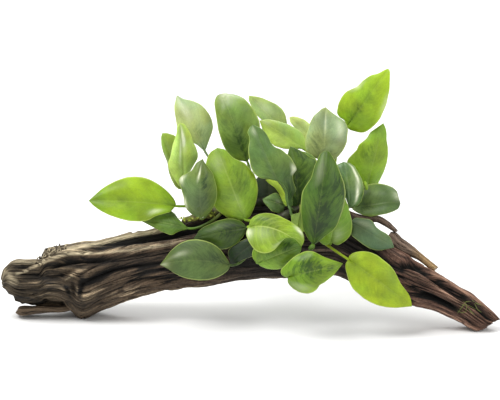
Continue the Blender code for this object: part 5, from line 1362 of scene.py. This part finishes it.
# %% A petiole and its midrib
PETIOLE_STEPS, PETIOLE_SIDES = 90, 14
IN_STEM = 1.8            # mm that it starts inside the rhizome
RIB_ROWS = np.arange(4, 52, 2)     # rows of the blade that the raised midrib runs under
RIB_RISEN = 56.0         # row at which its middle would be only 0.1 mm under the blade
PETIOLE_SLACK = 0.34     # how far it runs straight on from each end, a share of the way
FULL_LEAF = 30           # mm of blade from which a petiole has its full thickness
DIPS = {"leaf_wood_left": 9.0}     # mm that a petiole passes further back, behind another leaf


def petiole_skin(name, leaf, line, centre, normal):
    """A tube along the petiole and on under the blade. Its radius falls from the sheath to the
    petiole, swells at the joint, then tapers to the end of the midrib."""
    start, way = petiole_start(leaf)
    slim = float(np.clip(np.linalg.norm(line[-1] - line[0]) / (FULL_LEAF * MM), 0.6, 1.0))
    base = line[0] - normal[0] * 0.4 * PETIOLE_RADIUS * slim * MM
    slack = PETIOLE_SLACK * np.linalg.norm(base - start)
    ways = unit(np.gradient(line, axis=0))
    t = np.linspace(0, 1, 30)
    stalk = as_seen(bezier((start, start + way * slack, base - ways[0] * slack, base), t))
    stalk[:, 2] += DIPS.get(name, 0.0) * 4 * t * (1 - t)
    stalk = seen_at(*stalk.T)
    sunk = 0.1 + PETIOLE_RADIUS * slim * (1 - RIB_ROWS / RIB_RISEN)
    under = centre[RIB_ROWS] - normal[RIB_ROWS] * sunk[:, None] * MM
    path = np.vstack([start - way * IN_STEM * MM, stalk[:-1], under])
    path = smooth_line(path, PETIOLE_STEPS)
    run = run_along(path)
    joint = run[np.argmin(np.linalg.norm(path - base, axis=1))]
    before = np.clip(run / joint, 0, 1)
    after = np.clip((run - joint) / max(run[-1] - joint, 1e-6), 0, 1)
    radius = PETIOLE_RADIUS + (SHEATH_RADIUS - PETIOLE_RADIUS) * (1 - before)
    radius = radius + 0.35 * np.exp(-(before / 0.12) ** 2)
    radius = radius * (1 + 0.14 * np.exp(-((run - joint) / (1.6 * MM) + 0.8) ** 2))
    radius = radius * (1 - 0.82 * smoothstep(after, -0.05, 0.9)) * slim
    even_ring = np.ones((PETIOLE_STEPS, PETIOLE_SIDES))
    half = 0.5 * even_ring
    values = {"sheath": (1 - before)[:, None] * even_ring, "top": even_ring, "away": half,
              "vein": half}
    return tube_skin("petiole of " + name, path, radius[:, None] * even_ring, "leaf", (), values)


print("petiole radius, mm:", PETIOLE_RADIUS, "and at its sheath:", SHEATH_RADIUS)

# %% [markdown]
# Now all leaves are grown. The blade and the petiole of a leaf become one object, because a
# leaf is one piece, and it takes the place of its solid.

# %% Grow the leaves
leaves = {}
for number, (name, leaf) in enumerate(LEAVES.items()):
    blade, line, centre, normal = blade_skin(name, leaf, LOOKS[name], 300 + number)
    petiole = petiole_skin(name, leaf, line, centre, normal)
    leaves[name] = joined("grown_" + name, [blade, petiole], name)
print("leaves grown:", len(leaves))
print("faces of the first one:", len(leaves["leaf_far_left"].data.polygons))

# %% [markdown]
# Three leaves have a thicker foot: a sheath or a knob that clasps what they grow from. Each is
# a short round tube through a few places, in its leaf's colour.

# %% Clasps
CLASP_STEPS, CLASP_SIDES = 14, 12
CLASPS = {               # radius in mm, places
    "leaf_centre_wavy": (0.9, [(24.3, 71.6, -25.5), (25.5, 67.0, -27.0), (26.6, 62.0, -27.5),
                               (26.8, 57.0, -25.0)]),
    "leaf_right_tall": (1.2, [(71.0, 87.4, -9), (71.6, 85.8, -9.5), (72.2, 84.0, -9.5),
                              (72.6, 82.2, -9)]),
    "leaf_front_tall": (1.7, [(36.9, 45.2, -43.5), (37.6, 46.0, -44.5), (38.4, 46.8, -44.5),
                              (39.2, 48.0, -43.0)]),
}
even_ring = np.ones((CLASP_STEPS, CLASP_SIDES))
rounded = np.sqrt(1 - np.linspace(-0.97, 0.97, CLASP_STEPS) ** 4)[:, None] * even_ring
clasps = {}
for name, (radius, places) in CLASPS.items():
    line = seen_at(*smooth_line(places, CLASP_STEPS).T)
    clasps[name] = tube_skin("clasp_of_" + name, line, radius * rounded, "leaf", (),
                             {"top": even_ring, "away": 0.6 * even_ring})
print("clasps:", list(clasps))

# %% [markdown]
# ## Wood finish
#
# Old driftwood is dark and dull. Crests go tan and furrows almost black, by their height: partly
# the wood's own dust and dirt, and partly painted light on the crests and painted shade in the
# furrows and in its cracks. The right limb has a reddish core where it split. One group gives the
# grain, and both the trunk and the splinters use it with their own colours.

# %% Wood grain group
FINISH = [("Color", "Color"), ("Roughness", "Float"), ("Height", "Float")]
tree, entry, exit_ = new_group("wood grain", [
    ("Crest", "Color", srgb(190, 172, 145)), ("Body", "Color", srgb(110, 95, 78)),
    ("Furrow", "Color", srgb(30, 24, 20)), ("Dust", "Color", srgb(214, 202, 166)),
    ("Streaks", "Float", 0.5)], FINISH)
own = entry.outputs
grain = stored(tree, "grain", "Vector")


def grain_noise(across, along, detail, **more):
    """Noise on the wood's grain, stretched by those scales along the wood and round it."""
    at = add(tree, "Mapping", Vector=grain, Scale=(along, across, across)).outputs[0]
    return cloudy(tree, at, 1.0, detail, **more)


height = plus(tree, times(tree, stored(tree, "height"), 0.55), times(tree, stored(tree, "fibre"), 1.1))
fine = grain_noise(1.5, 0.09, 5.0, Roughness=0.62)
broad = grain_noise(0.42, 0.028, 3.0, Roughness=0.55, Distortion=0.6)
splits = grain_noise(1.15, 0.032, 4.0, Roughness=0.6, Distortion=0.3)
specks = cloudy(tree, grain, 0.9, 2.0)
level = plus(tree, height, times(tree, minus(tree, fine, 0.5), 3.2))
# By height: low places take the furrow colour, painted shade with the wood's dirt, and high ones the crest
# colour, painted light with its dust.
low = blend(tree, spread(tree, level, -2.6, -0.3), own["Furrow"], own["Body"])
toned = blend(tree, spread(tree, level, 0.2, 1.9), low, own["Crest"])
streak = tinted(tree, toned, spread(tree, broad, 0.40, 0.62, 0.62, 1.30))
streaked = blend(tree, own["Streaks"], toned, streak)
speckled = tinted(tree, streaked, spread(tree, specks, 0.30, 0.62, 0.72, 1.12))
# The drawn tone: above zero dust and painted light, below zero dirt and painted shade.
tone = stored(tree, "tone")
dust_and_light_share = times(tree, tone, spread(tree, fine, 0.36, 0.58, 0.35, 0.95), clamp=True)
dusted_and_lit = blend(tree, dust_and_light_share, speckled, own["Dust"])
dirt_and_shade = times(tree, tone, spread(tree, fine, 0.40, 0.66, -1.0, -0.6), clamp=True)
dirtied_and_shaded = blend(tree, dirt_and_shade, dusted_and_lit, own["Furrow"])
# Cracks are painted dark: painted shade in them.
crack = maths(tree, "ABSOLUTE", minus(tree, splits, 0.5))
cracked = tinted(tree, dirtied_and_shaded, spread(tree, crack, 0.0, 0.05, 0.22, 1.0))
carved = plus(tree, fine, spread(tree, crack, 0.0, 0.03, -0.4, 0.0))
fill(tree, exit_, Color=cracked, Roughness=spread(tree, level, -2.0, 1.5, 0.92, 0.68),
     Height=plus(tree, carved, times(tree, specks, 0.35)))
wood_grain = tree
print("wood grain group has", len(wood_grain.nodes), "nodes")

# %% [markdown]
# The group only gives colours, roughness and height. The Principled shader stays in each
# material, with what is the same all over set straight on its sockets. The trunk changes its
# colour along its length, by its object's X: it is darkest in the middle, under the leaves, and
# that darkness is painted shade.

# %% Wood materials
BUMP_DEPTH = 0.0006      # metres of bump on wood


def new_material(name, specular):
    """A material with its Principled shader, ready to be linked."""
    material = bpy.data.materials.new(name)
    material.use_nodes = True
    tree = material.node_tree
    return material, tree, fill(tree, tree.nodes["Principled BSDF"], Specular_IOR_Level=specular)


def bump(tree, height, strength, distance):
    """The normal that a height gives through a Bump node."""
    return add(tree, "Bump", Strength=strength, Distance=distance, Height=height).outputs[0]


def use_group(tree, group, **inputs):
    """A node that runs the group with those inputs."""
    made = tree.nodes.new("ShaderNodeGroup")
    made.node_tree = group
    return fill(tree, made, **inputs).outputs


def finish_with(tree, shader, made, strength, distance):
    """Links a group's colour, roughness and height (through a Bump node) to the shader."""
    fill(tree, shader, Base_Color=made["Color"], Roughness=made["Roughness"],
         Normal=bump(tree, made["Height"], strength, distance))


def wear(material, *objects):
    """Gives those objects that material alone."""
    for obj in objects:
        obj.data.materials.clear()
        obj.data.materials.append(material)


def along_x(tree, stops):
    """A colour that changes smoothly through (x in metres, colour) stops."""
    place = add(tree, "SeparateXYZ", Vector=object_place(tree)).outputs["X"]
    colour = stops[0][1]
    for (low, _), (high, after) in zip(stops, stops[1:]):
        colour = blend(tree, spread(tree, place, low, high), colour, after)
    return colour


wood, tree, shader = new_material("weathered driftwood", 0.25)
# The crest and body colours are darkest near x = 0.01, under the leaves: painted shade there.
crest = along_x(tree, [(-0.16, srgb(184, 161, 128)), (-0.05, srgb(164, 144, 116)),
                       (0.01, srgb(92, 80, 68)), (0.07, srgb(116, 96, 82)), (0.10, srgb(184, 144, 120))])
body = along_x(tree, [(-0.16, srgb(74, 64, 49)), (-0.05, srgb(90, 74, 58)), (0.01, srgb(46, 39, 34)),
                      (0.07, srgb(58, 47, 40)), (0.10, srgb(112, 83, 69))])
pale_tone = along_x(tree, [(0.0, srgb(226, 210, 174)), (0.08, srgb(206, 164, 138))])
made = use_group(tree, wood_grain, Crest=crest, Body=body, Furrow=srgb(26, 24, 22), Dust=pale_tone,
                 Streaks=0.8)
finish_with(tree, shader, made, 0.8, BUMP_DEPTH)
wear(wood, trunk, shreds)

split, tree, shader = new_material("split driftwood", 0.25)
crest = along_x(tree, [(0.098, srgb(170, 150, 126)), (0.110, srgb(216, 188, 134))])
body = along_x(tree, [(0.098, srgb(116, 98, 84)), (0.110, srgb(164, 134, 94))])
made = use_group(tree, wood_grain, Crest=crest, Body=body, Furrow=srgb(40, 30, 24), Streaks=0.8)
finish_with(tree, shader, made, 0.5, BUMP_DEPTH)
wear(split, strand)

damp, tree, shader = new_material("damp driftwood", 0.25)
made = use_group(tree, wood_grain, Crest=srgb(180, 154, 124), Body=srgb(100, 84, 66),
                 Furrow=srgb(28, 21, 18), Streaks=0.8)
finish_with(tree, shader, made, 0.5, BUMP_DEPTH)
wear(damp, prong)
print("wood materials:", wood.name, split.name, damp.name)

# %% [markdown]
# ## Leaf finish
#
# A leaf's colour is uneven: blotches, dark streaks between its side veins, a little light colour
# along the veins, and a thin bright rim, a painted highlight where the margin catches the light.
# Its spots are painted on as well: pale highlights, and dark patches that are partly painted
# shade. It is paler underneath, and its wax is glossy on top and dull below. The streaks are noise
# laid out along the veins: its first coordinate is the veins' phase and its second the distance
# from the midrib. One group holds all this, and each leaf's material gives it the leaf's own values.

# %% Leaf group
tree, entry, exit_ = new_group("leaf skin", [
    ("Colour", "Color", srgb(120, 150, 60)), ("Rib", "Color", srgb(190, 210, 110)),
    ("Veins", "Float", 0.5), ("Gloss", "Float", 0.5), ("Mottle", "Float", 0.3)], FINISH)
own = entry.outputs
place = object_place(tree)
away, top, mark, sheath, vein = (stored(tree, name) for name in (
    "away", "top", "mark", "sheath", "vein"))
ridge = minus(tree, maths(tree, "FRACT", vein), 0.5)
ridge = times(tree, maths(tree, "ABSOLUTE", ridge), 2.0)
blotch = cloudy(tree, place, 75.0, 3.0)
cells = cloudy(tree, place, 1400.0, 2.0)
broad = cloudy(tree, place, 42.0, 2.0)
side_way = times(tree, add(tree, "SeparateXYZ", Vector=place).outputs["X"], 90.0)
laid = add(tree, "CombineXYZ", X=times(tree, vein, 2.2), Y=times(tree, away, 3.4), Z=side_way)
streaks = cloudy(tree, laid.outputs[0], 1.0, 5.0, Roughness=0.68)

tint = blend(tree, spread(tree, broad, 0.38, 0.62), (1.04, 1.02, 0.88, 1.0), (0.88, 0.98, 1.22, 1.0))
green = own["Colour"]
for by in (spread(tree, blotch, 0.3, 0.7, 0.74, 1.24), spread(tree, cells, 0.3, 0.7, 0.93, 1.07),
           tint, spread(tree, away, 0.0, 1.0, 0.90, 1.12)):
    green = tinted(tree, green, by)
deep = tinted(tree, green, (0.20, 0.30, 0.25, 1.0))
between = times(tree, spread(tree, streaks, 0.47, 0.60), own["Mottle"])
# A negative spot paints a dark green patch: partly the leaf's own colour, partly painted shade.
shade = times(tree, times(tree, mark, -1.0), spread(tree, streaks, 0.36, 0.6, 0.4, 1.3))
dark_share = plus(tree, times(tree, between, 0.45), maths(tree, "MAXIMUM", shade, 0.0))
mottled = blend(tree, maths(tree, "MINIMUM", dark_share, 0.95), green, deep)
vein_line = times(tree, spread(tree, ridge, 0.62, 0.98), spread(tree, away, 0.8, 0.97, 1.0, 0.0))
vein_share = times(tree, times(tree, vein_line, own["Veins"]), 0.15)
veined = blend(tree, vein_share, mottled, own["Rib"])
rib_share = times(tree, spread(tree, away, 0.012, 0.05, 1.0, 0.0), times(tree, own["Veins"], 0.6))
ribbed = blend(tree, rib_share, veined, own["Rib"])
# A thin bright rim on the margin: a painted highlight where the margin catches the light.
rim_highlight_colour = blend(tree, 0.5, own["Rib"], srgb(186, 206, 96))
rim_highlit = blend(tree, times(tree, spread(tree, away, 0.93, 0.985), 0.55), ribbed, rim_highlight_colour)
sided = blend(tree, top, blend(tree, 0.35, rim_highlit, srgb(150, 172, 108)), rim_highlit)
# A positive spot paints a highlight: a pale glare mixed into the colour.
highlight_share = times(tree, mark, spread(tree, streaks, 0.3, 0.65, 0.45, 0.85), clamp=True)
highlighted = blend(tree, highlight_share, sided, srgb(222, 226, 196))
brown = blend(tree, maths(tree, "POWER", sheath, 3.0), highlighted, srgb(112, 100, 52))
glossy = minus(tree, 0.62, times(tree, own["Gloss"], 0.38))
rough = plus(tree, glossy, times(tree, minus(tree, 1.0, top), 0.18))
uneven = plus(tree, rough, times(tree, minus(tree, blotch, 0.5), 0.22))
raised = plus(tree, cells, plus(tree, streaks, times(tree, vein_line, -0.8)))
fill(tree, exit_, Color=brown, Roughness=uneven, Height=raised)
leaf_skin = tree
print("leaf group has", len(leaf_skin.nodes), "nodes")

# %% [markdown]
# Each leaf's material sets the group's inputs. The light that comes through a leaf is a little
# subsurface light, the same for all. The rib's colour is the leaf's own, halfway to straw.

# %% Leaf materials
STRAW = srgb(200, 212, 128)
LEAF_BUMP = 0.0002       # metres
LIGHT_THROUGH = {"Subsurface_Weight": 0.12, "Subsurface_Radius": (0.9, 1.0, 0.3),
                 "Subsurface_Scale": 0.0015}
for name, obj in leaves.items():
    look = LOOKS[name]
    material, tree, shader = new_material(name.replace("leaf_", "skin of leaf "), 0.3)
    rib = tuple(0.5 * a + 0.5 * b for a, b in zip(srgb(*look.colour), STRAW))
    made = use_group(tree, leaf_skin, Colour=srgb(*look.colour), Rib=rib, Veins=look.veins,
                     Gloss=look.gloss, Mottle=look.mottle)
    finish_with(tree, shader, made, 0.25, LEAF_BUMP)
    fill(tree, shader, **LIGHT_THROUGH)
    wear(material, obj, *([clasps[name]] if name in clasps else []))
print("leaf materials:", len(leaves))

# %% [markdown]
# The rhizome is green with brown rings where leaves fell off, paler at its old end and in shade
# in its middle. Roots and moss are two colours in patches, and the rootlets one.

# %% Rhizome and root materials


def patchy(name, specular, scale, detail, edges, dark, pale, roughness):
    """A dull material that changes from dark to pale with noise, between those two values."""
    material, tree, shader = new_material(name, specular)
    patches = cloudy(tree, object_place(tree), scale, detail)
    tone = blend(tree, spread(tree, patches, *edges), dark, pale)
    fill(tree, shader, Base_Color=tone, Roughness=roughness)
    return material


bark, tree, shader = new_material("rhizome skin", 0.4)
patches = cloudy(tree, object_place(tree), 260.0, 4.0)
green = blend(tree, spread(tree, patches, 0.38, 0.66), srgb(44, 44, 26), srgb(86, 92, 48))
shaded = along_x(tree, [(-0.03, (3.0, 2.6, 2.2, 1.0)), (-0.015, (1.0, 1.0, 1.0, 1.0)),
                        (0.0, (0.35, 0.38, 0.35, 1.0))])
ringed = blend(tree, times(tree, stored(tree, "scar"), 0.8), tinted(tree, green, shaded),
               srgb(46, 36, 24))
fill(tree, shader, Base_Color=ringed, Roughness=0.55, Normal=bump(tree, patches, 0.4, BUMP_DEPTH))
wear(bark, stem, branch)
wear(patchy("root skin", 0.3, 400.0, 3.0, (0.35, 0.65), srgb(128, 108, 72), srgb(178, 160, 112), 0.7),
     *roots)
wear(patchy("moss", 0.2, 500.0, 2.0, (0.4, 0.6), srgb(120, 132, 52), srgb(196, 206, 88), 0.8), moss)
hairy, tree, shader = new_material("mossy rootlets", 0.2)
fill(tree, shader, Base_Color=srgb(104, 112, 62), Roughness=0.8)
wear(hairy, rootlets)
print("rhizome and roots have their finishes")

# %% [markdown]
# ## Studio
#
# A pale floor, a wide soft light from above on the left, weaker ones from the right and from
# behind, and a long lens from 15 degrees above, so that the far side isn't much smaller than
# the near one.

# %% Floor, lights and camera
FLOOR_HALF = 4.0         # metres
corners = [(x, y, 0) for x, y in FLOOR_HALF * np.array([(-1, -1), (1, -1), (1, 1), (-1, 1)])]
floor_mesh = bpy.data.meshes.new("floor")
floor_mesh.from_pydata(corners, [], [(0, 1, 2, 3)])
floor = bpy.data.objects.new("floor", floor_mesh)
bpy.context.scene.collection.objects.link(floor)
paper, tree, shader = new_material("pale paper", 0.1)
fill(tree, shader, Base_Color=(0.9, 0.9, 0.89, 1.0), Roughness=0.95)
wear(paper, floor)


def soft_light(name, place, width, height, power):
    """A rectangular light at place that faces the plant's middle, in metres and watts."""
    light = bpy.data.lights.new(name, "AREA")
    light.shape = "RECTANGLE"
    light.size, light.size_y, light.energy = width, height, power
    obj = bpy.data.objects.new(name, light)
    obj.location = place
    obj.rotation_euler = (Vector(AIM) - Vector(place)).to_track_quat("-Z", "Y").to_euler()
    bpy.context.scene.collection.objects.link(obj)


AIM = (0.0, 0.0, 0.07)
soft_light("key light", (-0.55, -0.45, 1.05), 0.7, 0.7, 14.0)
soft_light("fill light", (0.95, -0.75, 0.6), 0.8, 0.8, 5.0)
soft_light("back light", (0.2, 0.9, 0.9), 0.9, 0.6, 7.0)
world = bpy.data.worlds.new("studio air")
world.use_nodes = True
tree = world.node_tree
fill(tree, tree.nodes["Background"], Color=(1.0, 1.0, 1.0, 1.0), Strength=0.75)
bpy.context.scene.world = world
bpy.context.scene.view_settings.view_transform = "Standard"

CAMERA_AWAY = 6.0        # metres
SEEN_WIDTH = 0.3125      # metres that the picture's width shows
PICTURE_MIDDLE = (-0.25, 75.8, 0.0)     # (across, up, depth) in mm
camera = bpy.data.cameras.new("camera")
camera.sensor_width = 36.0
camera.lens = camera.sensor_width * CAMERA_AWAY / SEEN_WIDTH
camera.clip_end = 50.0
camera_object = bpy.data.objects.new("camera", camera)
camera_object.location = seen_at(*PICTURE_MIDDLE) + CAMERA_AWAY * TO_VIEWER
camera_object.rotation_euler = (math.pi / 2 - VIEW_TILT, 0.0, 0.0)
bpy.context.scene.collection.objects.link(camera_object)
bpy.context.scene.camera = camera_object
print("lens, mm:", camera.lens)
